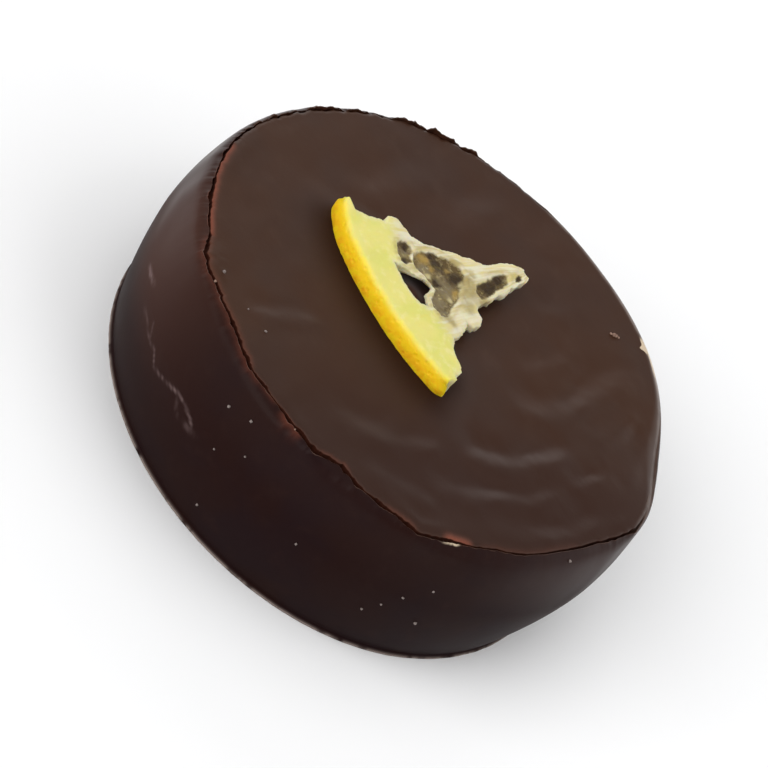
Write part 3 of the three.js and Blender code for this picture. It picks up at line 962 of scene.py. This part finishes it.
# the wall's finish, with darker base colours as painted shade
wall_finish_painted_shade = chocolate_finish(
    "dark_chocolate_wall_painted_shade", WALL_PAINTED_SHADE_WARM, WALL_PAINTED_SHADE_COOL, WALL_PAINTED_SHADE_BLOOM,
    roughness=0.42, sheen=0.03, tint=colour(1, 0.80, 0.70),
)
coat.data.materials.append(top_finish.material)
coat.data.materials.append(wall_finish_painted_shade.material)
# a face belongs to the zone of its first point; from the wall down it gets the second finish
below_rim = np.isin(zones[[face[0] for face in coat_faces]], ["wall", "foot", "base"])
coat.data.polygons.foreach_set("material_index", below_rim.astype(np.int32))
print("faces with the wall's finish:", int(below_rim.sum()))

# %% [markdown]
# ## Specks on the coat
#
# A few pale crumbs of sugar and biscuit stick to the coat. They could be dots of colour, but at
# a close look a real speck stands up from the surface and has its own light side. So each
# is a tiny lump, a ball with its points moved in and out at random. All pale lumps are one
# mesh, and all brown ones another.

# %% Where the specks are
# on the top: x, y and size in mm; on the wall: azimuth, height and size
TOP_SPECKS = [(-19.8, -18.7, 0.24), (-15.3, -20.2, 0.14), (-12.4, -20.8, 0.15)]
WALL_SPECKS = [
    (-108.5, 16.1, 0.18), (-103.3, 17.2, 0.15), (-99.7, 3.9, 0.20), (-104.6, 11.3, 0.13),
    (-99.2, 13.9, 0.12), (-80.3, 10.4, 0.15), (-60.6, 7.1, 0.15), (-58.5, 9.1, 0.13),
    (-56.3, 11.4, 0.15), (-52.2, 13.8, 0.14), (-49, 8.0, 0.24), (-23.4, 19.4, 0.17), (35, 9, 0.15),
    (82, 13, 0.14), (124, 6, 0.17), (160, 14, 0.14), (101, 9.5, 0.12),
]
BROWN_CRUMBS = [
    (13.95, 20.95, 0.26), (14.2, 21.1, 0.26), (13.65, 20.8, 0.17), (14.5, 21.25, 0.15),
    (-19.72, -20.75, 0.13), (-3.18, -28.75, 0.12),
]
SPECK_TURNS, SPECK_BANDS = 9, 6
FIRST_SPECK_SEED = 800


def lump(centre, size, seed):
    """Points and faces of a small uneven ball."""
    draw = np.random.default_rng(seed)
    stretch = draw.uniform(0.7, 1.3, 3) * size
    points, faces = [], []
    for band_number in range(SPECK_BANDS + 1):
        lift = math.pi * band_number / SPECK_BANDS
        for side in range(SPECK_TURNS):
            turned = 2 * math.pi * side / SPECK_TURNS
            level = [math.sin(lift) * math.cos(turned), math.sin(lift) * math.sin(turned)]
            way = np.array([*level, math.cos(lift)])
            points.append(centre + way * stretch * draw.uniform(0.75, 1.15))
    for band_start in range(0, SPECK_BANDS * SPECK_TURNS, SPECK_TURNS):
        next_band = band_start + SPECK_TURNS
        for side in range(SPECK_TURNS):
            after = (side + 1) % SPECK_TURNS
            faces.append([band_start + side, next_band + side, next_band + after, band_start + after])
    return points, faces


def scatter(name, spots):
    """One mesh of all the lumps, each half sunk into the coat."""
    points, faces = [], []
    for number, (centre, size) in enumerate(spots):
        lump_points, lump_faces = lump(np.array(centre), size, FIRST_SPECK_SEED + number)
        faces += [[len(points) + corner for corner in face] for face in lump_faces]
        points += lump_points
    made = mesh_object(name, points, faces)
    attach(made, "root")
    return made


# %% Make the specks
def top_spot(x, y, size):
    return (x, y, COOKIE_HEIGHT + 0.4 * size), size


def wall_spot(at, z, size):
    r = float(wall_radius(at, z)) + 0.2 * size
    return (r * math.cos(math.radians(at)), r * math.sin(math.radians(at)), z), size


def crumb_finish(name, dark, light, roughness):
    """Crumbs of two mixed shades."""
    finish = Finish(name)
    finish.set(Base_Color=finish.blend(dark, light, finish.noise(0.3)), Roughness=roughness)
    return finish.material


pale_spots = [top_spot(*spot) for spot in TOP_SPECKS] + [wall_spot(*spot) for spot in WALL_SPECKS]
specks = scatter("pale_specks", pale_spots)
specks.data.materials.append(
    crumb_finish("pale_speck_finish", colour(0.13, 0.10, 0.09), colour(0.27, 0.22, 0.20), 0.7))
crumbs = scatter("brown_crumbs", [top_spot(*spot) for spot in BROWN_CRUMBS])
crumbs.data.materials.append(
    crumb_finish("brown_crumb_finish", colour(0.16, 0.085, 0.06), colour(0.36, 0.23, 0.17), 0.8))
print(len(pale_spots), "pale specks and", len(BROWN_CRUMBS), "brown crumbs")

# %% [markdown]
# ## The lemon piece
#
# This is about a sixth of a dried slice, torn out of it by hand. The rind runs along its long
# side and stands on the coat. Then comes the thick spongy pith, and towards the point the pulp
# has dried to a thin brown film between pale membranes, which curls up a little. A place in
# the slice is given as its distance from the slice's middle and an angle from the piece's
# own middle line, as on a clock. A grid over distance and angle follows the torn sides
# exactly, and the small tear that goes right through is cut out afterwards.

# %% Sizes of the lemon piece
RIND_THICKNESS = 2.78
FLESH_HEIGHT = 2.30
FLESH_LIFT = 1.05
POINT_CURL = 0.55
FILM_SINK = 0.36
LEAST_THICKNESS = 0.3
LEMON_BASE = COOKIE_HEIGHT + 0.02
# how much further out the rind lies than in its middle: degrees and mm
RIND_LINE = [
    (-33, 1.15), (-24, 1.15), (-14, 0.5), (-6, 0.15), (0, 0), (8, 0.05), (15, 0.15), (22, 0.4), (29, 0.85),
]
# the two torn sides: at a distance from the slice's middle, degrees from the middle line
LEFT_SIDE = [
    (0, -62), (0.7, -60), (1.6, -44), (2.9, -35), (4.5, -26.5), (5.6, -25.5), (7.2, -27.5), (8.9, -28.3),
    (11.3, -27), (13.1, -27.4), (14.5, -29.3), (15.1, -32.2), (16.1, -35.1), (17.2, -33.6), (17.7, -30.1),
    (19.2, -29.9), (20.2, -30.2), (21, -29.8), (21.7, -32.6), (24.4, -33),
]
RIGHT_SIDE = [
    (0, 56), (0.7, 54), (2, 29), (3.7, 21.6), (5.8, 18.8), (7.8, 16.8), (9.3, 16.3), (10, 18.2), (10.4, 23.5),
    (11.4, 25), (12.4, 23.8), (12.8, 19.2), (14.8, 22.3), (16, 20.9), (18.2, 24.9), (19, 29.0), (19.8, 30.2),
    (21.2, 29.6), (22, 28.6), (24, 28.6),
]
# the tear that goes right through, and the windows of dried pulp, as outlines
TEAR = [
    (18.2, -12.2), (17, -10.6), (16, -8.6), (14.7, -6), (14.2, -3.4), (14.8, -1.3), (15.8, -0.1), (16.1, 2.1),
    (16.5, 5.7), (17.5, 3.5), (18, 0.8), (18.1, -3), (18.1, -6.7),
]
PULP_WINDOWS = [
    [(16.9, -21.9), (16.2, -23.9), (15.3, -23.6), (14.9, -21.2), (15.6, -17.8), (15.6, -14.7), (16.5, -13.3),
     (17.2, -14.1), (17.3, -17.2)],
    [(14.7, -19.7), (13.6, -21.8), (12.1, -21.8), (10.6, -19.6), (9.3, -15.8), (8.8, -9.5), (9.5, -1.3),
     (10.6, 1.3), (11.9, 7.5), (13.5, 9.5), (14.8, 12.7), (15.7, 11.1), (15.7, 7.2), (15.3, 3), (14, -0.9),
     (14, -4.5), (14.4, -8.7), (15.2, -11.4), (15.2, -15.3)],
    [(7.8, 0.1), (6.4, -1.6), (4.8, -6.6), (3.5, -8.2), (3, -3.7), (3.6, 8.5), (5.3, 11.9), (7.1, 13.1),
     (8.3, 12.2), (8.4, 6.8)],
    [(2.2, 5.2), (1.5, -5.6), (1.1, 6.8), (1.5, 25.7), (2.2, 22.7), (2.5, 15.5)],
]
lemon_low, lemon_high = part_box("lemon_piece")
plain_thickness = in_mm(lemon_high - lemon_low)[2]
print("the lemon piece is", RIND_THICKNESS, "mm thick, its plain solid", plain_thickness)


# %% From distance and angle to a place on the cookie
def flattened(away, degrees):
    """The rind isn't a true circle: towards its ends it lies further out."""
    nearby = [np.interp(degrees + shift, *zip(*RIND_LINE)) for shift in (-3, 0, 3)]
    return away + sum(nearby) / 3 * smooth(away, 0.6 * SLICE_RADIUS, SLICE_RADIUS)


def in_slice(away, degrees):
    """Along and across the piece's middle line."""
    return away * np.cos(np.radians(degrees)), away * np.sin(np.radians(degrees))


def on_cookie(along_slice, across_slice):
    way = math.radians(SLICE_AZIMUTH)
    x = SLICE_CENTRE[0] + along_slice * math.cos(way) - across_slice * math.sin(way)
    y = SLICE_CENTRE[1] + along_slice * math.sin(way) + across_slice * math.cos(way)
    return x, y


def outline(corners):
    """An outline in distance and angle, as along and across."""
    return [in_slice(away, degrees) for away, degrees in corners]


def inside_by(shape, x, y):
    """How far a point lies inside a closed outline, negative outside."""
    closed = [*shape, shape[0]]
    away, _, _ = along(closed, x, y)
    inside = np.zeros(np.shape(x), bool)
    for (ax, ay), (bx, by) in zip(closed, closed[1:]):
        crosses = (ay > y) != (by > y)
        inside ^= crosses & (x < (bx - ax) * (y - ay) / (by - ay + 1e-12) + ax)
    return np.where(inside, away, -away)


print("tear spans", round(max(a for a, _ in TEAR) - min(a for a, _ in TEAR), 1), "mm along the slice")

# %% [markdown]
# ### The grid of the slice
#
# The rows run from the point out over the upper face, round the rind's upper corner and down
# its side. The columns run from the left torn side to the right one. The rind's ends are
# rounded off, because a dried rind shrinks away from its cut.

# %% The rows
STEPS_OUT, STEPS_ACROSS = 190, 170
POINT_RADIUS = 0.6
CORNER = 0.60
CORNER_TURN = math.radians(80)
CORNER_SHARE = 0.2
FLAT_REACH = SLICE_RADIUS - CORNER
CORNER_ROWS = 9
RIND_ROWS = 16
RIND_BULGE = 0.16
# each row: distance, how far below the upper face, and how far down the rind from 0 to 1
rows = [(away, 0.0, 0.0) for away in np.linspace(POINT_RADIUS, FLAT_REACH, STEPS_OUT)]
for number in range(1, CORNER_ROWS + 1):
    share = number / CORNER_ROWS
    drop = CORNER * (1 - math.cos(CORNER_TURN * share))
    rows.append((FLAT_REACH + CORNER * math.sin(CORNER_TURN * share), drop, CORNER_SHARE * share))
corner_away, corner_drop, _ = rows[-1]
for number in range(1, RIND_ROWS + 1):
    share = number / RIND_ROWS
    bulge = RIND_BULGE * math.sin(math.pi * min(1, share * 0.9))
    rows.append((corner_away + bulge, mix(corner_drop, RIND_THICKNESS, share), mix(CORNER_SHARE, 1, share)))
row_away, row_drop, row_down = np.array(rows).T[:, :, None]
print(len(rows), "rows, the rind's side reaches", round(float(row_away.max()), 2), "mm from the middle")

# %% The columns between the torn sides
SIDE_FRAY = 0.55
LEFT_FLARE = 2.6
RIGHT_FLARE = 1.3
across = np.linspace(0, 1, STEPS_ACROSS)[None, :]
# a fray of the same width takes a larger angle nearer to the point
fray_angle = SIDE_FRAY * 24 / np.maximum(row_away, 3)
frays = [fray_angle * rough_noise(row_away / 0.7, row_away * 0 + 5, 91, 4),
         1.25 * fray_angle * rough_noise(row_away / 0.6, row_away * 0 + 9, 92, 4)]
# at its ends the rind reaches further at the bottom than at the top
flare = smooth(row_down, 0.05, 0.75)
left = np.interp(row_away, *zip(*LEFT_SIDE)) + frays[0] - LEFT_FLARE * flare
right = np.interp(row_away, *zip(*RIGHT_SIDE)) + frays[1] + RIGHT_FLARE * flare
degrees = mix(left, right, across)
away_grid = row_away + 0 * across
edge_arc = np.minimum(across, 1 - across) * np.radians(right - left) * row_away
end_rounding = 0.5 * np.exp(-((edge_arc / 0.6) ** 1.3)) * smooth(row_down, 0, 0.5)
bumps = 0.075 * rough_noise(degrees * 0.39 / 0.55, row_down * 3 + 20, 99) * smooth(row_down, 0.02, 0.25)
slice_along, slice_across = in_slice(flattened(away_grid, degrees) - end_rounding + bumps, degrees)
print("slice grid:", slice_along.shape)

# %% [markdown]
# ### Relief of the slice
#
# The pith is a low cushion. Where the pulp dried it sank to a film, wrinkled between slightly
# raised membranes. Under the flesh the slice is hollow: a dried slice is thick only
# at its rind. The torn sides and the edge of the tear thin out.

# %% Height of the slice's upper face
def slice_noise(size, seed, shift=0, size_across=None):
    """Noise over the slice: its size along and across in mm, and how far it is shifted."""
    return rough_noise(slice_along / size, slice_across / (size_across or size) + shift, seed)


window_inside = np.full(slice_along.shape, -9.0)
for corners in PULP_WINDOWS:
    window_inside = np.maximum(window_inside, inside_by(outline(corners), slice_along, slice_across))
window_inside = window_inside + 0.20 * slice_noise(0.9, 93, 30)
film = smooth(window_inside, -0.40, 0.34)
ridge = hill(window_inside + 0.50, 0.30)
tear_inside = inside_by(outline(TEAR), slice_along, slice_across)
tear_lip = hill(np.minimum(tear_inside, 0), 0.55)
flesh = 1 - smooth(away_grid, 15, 19)
side_fall = np.exp(-edge_arc / 0.42) * smooth(away_grid, 2, 5)
puff = 0.10 * slice_noise(3.2, 94, 11) + 0.06 * slice_noise(0.8, 95)
wrinkles = 0.13 * slice_noise(0.8, 96, 17, 1.3) + 0.07 * slice_noise(0.3, 97, 0, 0.4)
soft_part = 1 - smooth(away_grid, FLAT_REACH - 1.2, FLAT_REACH)
curl = POINT_CURL * (1 - smooth(away_grid, 0.5, 9))
upper_height = mix(RIND_THICKNESS, FLESH_HEIGHT, flesh) + curl - row_drop
upper_height = upper_height + soft_part * (mix(puff, wrinkles, film) - FILM_SINK * film + 0.07 * ridge)
upper_height = upper_height - soft_part * (0.34 * side_fall + 0.20 * tear_lip)
lower_height = mix(flesh * FLESH_LIFT + curl, upper_height - LEAST_THICKNESS, tear_lip * np.sqrt(flesh))
lower_height = np.minimum(lower_height, upper_height - LEAST_THICKNESS)
lower_height = np.maximum(lower_height, 0) * (row_down == 0)
thinnest, thickest = float(upper_height[:STEPS_OUT].min()), float(upper_height.max())
print("the upper face lies", round(thinnest, 2), "to", round(thickest, 2), "mm over the coat")

# %% [markdown]
# ### Upper face, lower face, torn walls
#
# The slice is closed by a second grid under the first. Faces inside the tear are left out of
# both, and wherever a kept face has no neighbour a ragged wall joins the two
# grids. That makes the torn sides and the tear in one go, with no boolean.

# %% Both grids
SNAP_WITHIN = 0.08
SLOPE_STEP = 0.02
# under the rind's side the lower grid spreads out to the rind's foot
rind_foot = rows[-1][0]
lower_away = np.where(row_down > 0, mix(FLAT_REACH, rind_foot, smooth(row_down, 0, 1)), row_away)
lower_away = lower_away + 0 * across
lower_along, lower_across = in_slice(flattened(lower_away, degrees) - end_rounding + bumps, degrees)
# points beside the tear move onto its ragged outline, along the slope of the distance from it
tear_edge = tear_inside + 0.14 + 0.16 * slice_noise(0.5, 98, 50)
past_along = inside_by(outline(TEAR), slice_along + SLOPE_STEP, slice_across)
past_across = inside_by(outline(TEAR), slice_along, slice_across + SLOPE_STEP)
snap = np.where(np.abs(tear_edge) < SNAP_WITHIN, -tear_edge, 0)
move_along = snap * (past_along - tear_inside) / SLOPE_STEP
move_across = snap * (past_across - tear_inside) / SLOPE_STEP
upper_x, upper_y = on_cookie(slice_along + move_along, slice_across + move_across)
lower_x, lower_y = on_cookie(lower_along + move_along, lower_across + move_across)
upper = np.stack([upper_x, upper_y, LEMON_BASE + np.maximum(upper_height, 0)], 2)
lower = np.stack([lower_x, lower_y, LEMON_BASE + lower_height], 2)


def face_corners(grid):
    """The four corners of every face of a grid, in order."""
    return [grid[:-1, :-1], grid[1:, :-1], grid[1:, 1:], grid[:-1, 1:]]


kept = sum(face_corners(tear_edge)) <= 0
print("faces left out for the tear:", int((~kept).sum()))

# %% [markdown]
# ### Where the colours of the slice lie
#
# The pulp film is brown, but not evenly: the juice dried in darker, greyer and ochre patches.
# A few patches are listed, as distance, angle and radius, and their outlines are
# bent by noise, so that none of them looks round.

# %% Patches and other numbers on the slice's points
PATCHES = {
    "dark": [(11.9, -15.7, 1.1), (10.1, -6.3, 1.1), (13.1, -4.2, 0.6), (16.1, -22.3, 0.5), (16.6, -15.2, 0.5),
             (6.3, 5.0, 1.3), (4.6, 0.5, 1.1), (1.8, 8, 0.7), (12.6, -20.5, 0.6)],
    "grey": [(12.5, -1.1, 1.5), (14.6, 4.2, 1.1), (14.9, 10.5, 0.8), (16.3, -18.5, 0.7), (14.0, -12, 0.8)],
    "ochre": [(13.7, -17.9, 0.8), (12.9, -12.6, 0.5), (10.6, -12.5, 0.4), (11.3, 3.8, 0.5)],
    "pale": [(14.9, -20.3, 0.5), (9.4, 0.5, 0.6), (12.6, 4.6, 0.5), (3.2, 2.0, 0.35), (14.0, -8.2, 0.4)],
    "tan": [(11.0, 12.5, 1.0), (8.8, -2.2, 0.9), (9.6, 7.2, 1.3), (15.1, 14.5, 0.7), (8.2, 13.0, 0.9),
            (9.6, -17.8, 0.7), (8.6, 3.5, 0.8), (10.9, 7.5, 0.7), (7.6, -9.0, 0.5)],
}
bent_along = slice_along + 0.55 * slice_noise(1.1, 121)
bent_across = slice_across + 0.55 * slice_noise(1.1, 122, 40)


def patches(kind):
    """1 in the patches of one kind, falling off quickly round them."""
    mask = np.zeros(slice_along.shape)
    for away, at, radius in PATCHES[kind]:
        x, y = in_slice(away, at)
        apart = ((bent_along - x) ** 2 + (bent_across - y) ** 2) / radius**2
        mask = np.maximum(mask, np.exp(-(apart**1.5)))
    return mask


fibre = rough_noise(slice_along / 2.4, degrees * np.radians(1) * (away_grid + 3) / 0.42, 123)
zest_edge = row_down + 0.05 * rough_noise(degrees / 2, away_grid / 2, 101)
torn = np.maximum(side_fall * (row_down < 0.1), 0.8 * tear_lip * (1 - film)) * soft_part
slice_marks = {
    "film": film, "torn": torn, "ridge": ridge * soft_part, "flesh": flesh,
    "zest": smooth(zest_edge, 0.0, 0.22), "low": row_down + 0 * across, "fibre": 0.5 + 0.8 * fibre,
    **{kind: patches(kind) * (film if kind != "tan" else flesh) for kind in PATCHES},
}
print("share of the face that is dried pulp:", round(float(film[:STEPS_OUT].mean()), 3))

# %% Points and faces of both grids
row_count, column_count = slice_along.shape
points = [*upper.reshape(-1, 3), *lower[:-1].reshape(-1, 3)]
marks = {name: [*grid.ravel(), *grid[:-1].ravel()] for name, grid in slice_marks.items()}
# the numbers of the points above and below; the last row is the same for both
above = np.arange(row_count * column_count).reshape(row_count, column_count)
below = np.concatenate([above[:-1] + row_count * column_count, above[-1:]])
upper_corners = [corner[kept] for corner in face_corners(above)]
first_corner, *others = [corner[kept] for corner in face_corners(below)]
faces = np.stack(upper_corners, 1).tolist()
faces += np.stack([first_corner, *reversed(others)], 1).tolist()
print("upper and lower faces:", len(faces))

# %% The torn walls
WALL_STEPS = [0.25, 0.5, 0.75]
WALL_TUG = 0.13
# how much of each number goes down a torn wall
ON_A_TEAR = {"film": 0.6, "torn": 0.0, "ridge": 0.0, "zest": 0.8}
wall_columns = {}


def wall_column(row, column):
    """The points of a torn wall from the upper to the lower grid, made once."""
    if (row, column) in wall_columns:
        return wall_columns[row, column]
    top_point, low_point = upper[row, column], lower[row, column]
    chain = [above[row, column]]
    for number, down in enumerate(WALL_STEPS):
        place = mix(top_point, low_point, down)
        x, y = place[0] / 0.6, place[1] / 0.6 + 7 * number
        tug = WALL_TUG * np.array([rough_noise(x, y, 111), rough_noise(x + 20, y, 112), 0])
        chain.append(len(points))
        points.append(place + tug * (abs(top_point[2] - low_point[2]) > 0.4))
        for name, grid in slice_marks.items():
            marks[name].append(float(grid[row, column]) * ON_A_TEAR.get(name, 1.0))
        marks["torn"][-1] = 1.0
    wall_columns[row, column] = [*chain, below[row, column]]
    return wall_columns[row, column]


def add_wall(start, end):
    """A torn wall under the edge from start to end of a kept face."""
    first, second = wall_column(*start), wall_column(*end)
    for number in range(len(first) - 1):
        corners = [second[number], first[number], first[number + 1], second[number + 1]]
        faces.append(list(dict.fromkeys(corners)))


solid_faces = np.pad(kept, 1)
for row, column in np.argwhere(kept).tolist():
    # a wall stands under each side of a kept face that has no kept neighbour
    if not solid_faces[row + 1, column]:
        add_wall((row, column), (row + 1, column))
    if not solid_faces[row + 1, column + 2]:
        add_wall((row + 1, column + 1), (row, column + 1))
    if not solid_faces[row, column + 1]:
        add_wall((row, column + 1), (row, column))
    if row + 1 < row_count - 1 and not solid_faces[row + 2, column + 1]:
        add_wall((row + 1, column), (row + 1, column + 1))
lemon = mesh_object("dried_lemon_piece", points, faces, marks)
print("lemon:", len(lemon.data.polygons), "faces,", len(wall_columns), "wall columns")

# %% Remove loose points
clean = bmesh.new()
clean.from_mesh(lemon.data)
loose = [vertex for vertex in clean.verts if not vertex.link_faces]
bmesh.ops.delete(clean, geom=loose, context="VERTS")
open_edges = [edge for edge in clean.edges if len(edge.link_faces) != 2]
print("edges that aren't shared by two faces:", len(open_edges))
clean.to_mesh(lemon.data)
clean.free()
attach(lemon, "root")
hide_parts("lemon_piece")

# %% [markdown]
# ## Dried lemon
#
# Four surfaces meet in this piece. The zest is saturated yellow, golden and blotched with
# orange towards its lower edge, and faintly dimpled with oil pores. The pith is pale yellow with
# a touch of green. Torn sides and membranes are whitish. The pulp is a see-through brown film
# with dark, grey and ochre patches: it is painted as a mottled surface, since what shows
# through it is only the dark coat. A little subsurface light makes all of it look soft.

# %% The lemon's colours
PITH_YELLOW = colour(0.715, 0.655, 0.200)
PITH_GREENISH = colour(0.665, 0.635, 0.165)
PITH_PALE = colour(0.770, 0.705, 0.320)
MEMBRANE = colour(0.640, 0.550, 0.270)
TORN_WHITE = colour(0.700, 0.660, 0.480)
FILM_BROWN = colour(0.110, 0.070, 0.022)
FILM_TAN = colour(0.225, 0.165, 0.072)
FILM_DARK = colour(0.036, 0.018, 0.005)
FILM_GREY = colour(0.190, 0.148, 0.078)
FILM_OCHRE = colour(0.340, 0.225, 0.058)
FILM_PALE = colour(0.500, 0.430, 0.220)
FLESH_TAN = colour(0.310, 0.240, 0.095)
ZEST_LEMON = colour(0.90, 0.72, 0.060)
ZEST_GOLD = colour(0.96, 0.620, 0.010)
ZEST_ORANGE = colour(0.95, 0.485, 0.008)
print("zest is", round(ZEST_GOLD[1] / ZEST_ORANGE[1], 2), "times as green in its gold as in its orange")

# %% The lemon's finish
peel = Finish("dried_lemon_finish")
film_mask, zest_mask = peel.attribute("film"), peel.attribute("zest")
torn_mask, low_mask = peel.attribute("torn"), peel.attribute("low")
fibres = peel.attribute("fibre")
mottle = peel.noise(1.1, 4)
speckle = peel.noise(0.32, 3)
vein = peel.noise(0.6, 4)
cloud = peel.noise(4.5, 2)
membrane = peel.blend(MEMBRANE, TORN_WHITE, (fibres * 0.7 + mottle * 0.4).over(0.35, 0.80))
dried = peel.blend(FILM_BROWN, FILM_TAN, speckle.over(0.44, 0.66))
for kind, tone in (("grey", FILM_GREY), ("ochre", FILM_OCHRE), ("dark", FILM_DARK), ("pale", FILM_PALE)):
    dried = peel.blend(dried, tone, (peel.attribute(kind) * (0.75 + 0.7 * speckle)).clip())
dried = peel.blend(dried, FILM_PALE, vein.over(0.56, 0.72) * (1 - peel.attribute("dark")) * 0.6)
rind = peel.layers(
    ZEST_LEMON,
    (ZEST_GOLD, low_mask.over(0.05, 0.36)),
    (ZEST_ORANGE, (low_mask.over(0.30, 0.70) * mottle.over(0.40, 0.60)).clip()),
)
skin_tone = peel.layers(
    PITH_YELLOW,
    (PITH_GREENISH, cloud.over(0.42, 0.62)),
    (PITH_PALE, mottle.over(0.50, 0.72) * 0.6),
    (membrane, (peel.attribute("flesh") * 1.3 - 0.25 + 0.5 * (fibres - 0.5)).clip()),
    (TORN_WHITE, (torn_mask * (0.5 + 0.7 * mottle)).clip() * 0.85),
    (FLESH_TAN, (peel.attribute("tan") * (0.3 + 0.8 * mottle)).clip()),
    (FLESH_TAN, (peel.attribute("ridge") * (1.15 - fibres)).clip() * 0.55),
    (dried, (film_mask * 1.2 + 0.9 * (vein - 0.5)).over(0.25, 0.95)),
    (rind, zest_mask.clip()),
    (PITH_PALE, low_mask.over(0.94, 0.99) * (0.2 + 0.5 * speckle)),
)
pores = peel.node(
    "ShaderNodeTexVoronoi", {"feature": "SMOOTH_F1"},
    {"Vector": peel.place(), "Scale": 1 / (0.85 * MM), "Smoothness": 0.35},
)[0]
pore_pits = (1 - pores.over(0.08, 0.40)) * zest_mask * mottle.over(0.38, 0.60)
weave = mottle * 0.3 + speckle * 0.4 + fibres * 0.3
peel_relief = weave * (1 - 0.5 * zest_mask) - 0.7 * pore_pits
peel.set(
    Base_Color=skin_tone,
    Roughness=(0.62 - 0.18 * film_mask - 0.12 * zest_mask + 0.1 * speckle).clip(),
    Normal=peel.relief(peel_relief, 0.08),
    Specular_IOR_Level=0.22,
    Subsurface_Weight=0.5,
    Subsurface_Scale=0.0012,
)
peel.shader.inputs["Subsurface Radius"].default_value = (1.0, 0.6, 0.15)
lemon.data.materials.append(peel.material)
print("lemon nodes:", len(peel.tree.nodes))

# %% [markdown]
# ## Floor and light
#
# The photograph was taken on white board in soft light that comes from all round and mostly
# from above and behind. Very large sun lamps do that: each fills a wide patch of the sky evenly,
# and lights the floor the same near and far. What is left comes from a dim even sky. Where
# the camera sees the sky itself, it is as white as the floor, so no horizon shows.

# %% Floor
FLOOR_REACH = 6.0
corners = [(x * FLOOR_REACH / MM, y * FLOOR_REACH / MM, 0) for x, y in ((-1, -1), (1, -1), (1, 1), (-1, 1))]
floor = mesh_object("floor", corners, [[0, 1, 2, 3]], smooth_shading=False)
board = Finish("white_board")
board.set(Base_Color=colour(0.94, 0.94, 0.945), Roughness=1.0, Specular_IOR_Level=0.0)
floor.data.materials.append(board.material)
print("floor reaches", FLOOR_REACH, "m each way")

# %% Lights
# each: name, azimuth it shines from, elevation, width of its patch of sky, strength
SOFT_LIGHTS = [
    ("top_light", 95, 85, 62, 0.84),
    ("backdrop_glow", 118, 20, 50, 0.62),
    ("front_left_light", 234, 33, 56, 2.26),
    ("right_light", 5, 35, 70, 0.92),
    ("far_low_light", 62, 14, 46, 0.48),
]


def soft_light(name, azimuth, elevation, width, strength):
    """A sun lamp whose disc fills a wide patch of the sky."""
    lamp = bpy.data.lights.new(name, "SUN")
    lamp.angle = math.radians(width)
    lamp.energy = strength
    around, up = math.radians(azimuth), math.radians(elevation)
    towards = Vector((math.cos(around) * math.cos(up), math.sin(around) * math.cos(up), math.sin(up)))
    add_to_scene(name, lamp).rotation_euler = towards.to_track_quat("Z", "Y").to_euler()


for light in SOFT_LIGHTS:
    soft_light(*light)
print(len(SOFT_LIGHTS), "soft lights")

# %% Sky
SKY_LIGHT = 0.20
SKY_SEEN = 1.0
WHITE = colour(1, 1, 1)
world = bpy.data.worlds.new("studio")
world.use_nodes = True
bpy.context.scene.world = world
sky = world.node_tree.nodes
links = world.node_tree.links
lighting, seen = sky["Background"], sky.new("ShaderNodeBackground")
for background, strength in ((lighting, SKY_LIGHT), (seen, SKY_SEEN)):
    background.inputs["Color"].default_value = WHITE
    background.inputs["Strength"].default_value = strength
either, rays = sky.new("ShaderNodeMixShader"), sky.new("ShaderNodeLightPath")
links.new(rays.outputs["Is Camera Ray"], either.inputs[0])
links.new(lighting.outputs[0], either.inputs[1])
links.new(seen.outputs[0], either.inputs[2])
links.new(either.outputs[0], sky["World Output"].inputs["Surface"])
bpy.context.scene.view_settings.view_transform = "Standard"
print("the sky lights with", SKY_LIGHT, "and is seen as", SKY_SEEN)

# %% [markdown]
# ## Camera
#
# The camera sees the cookie from the side the photograph shows: 37.6 degrees above its top, from
# about 0.64 m. In the photograph the cookie lies tilted on others, so the picture here is rolled
# until the cookie's upright leans as far to the right. A longer lens takes the
# place of cropping, so the perspective stays the same.

# %% Place the camera
CAMERA_DISTANCE = 0.638
CAMERA_ELEVATION = math.radians(37.6)
CAMERA_ROLL = math.radians(44.7)
LENS = 284
SENSOR_WIDTH = 36
AIM_HEIGHT = 9.6
camera_data = bpy.data.cameras.new("camera")
camera_data.lens = LENS
camera_data.sensor_width = SENSOR_WIDTH
camera_data.clip_end = 20
camera = add_to_scene("camera", camera_data)
bpy.context.scene.camera = camera
top_middle = Vector((0, 0, COOKIE_HEIGHT * MM))
back = Vector((0, -math.cos(CAMERA_ELEVATION), math.sin(CAMERA_ELEVATION)))
camera.location = top_middle + back * CAMERA_DISTANCE
level = (camera.location - Vector((0, 0, AIM_HEIGHT * MM))).to_track_quat("Z", "Y").to_matrix()
camera.rotation_mode = "QUATERNION"
camera.rotation_quaternion = (level @ Matrix.Rotation(CAMERA_ROLL, 3, "Z")).to_quaternion()
print("camera at", [round(v, 3) for v in camera.location])
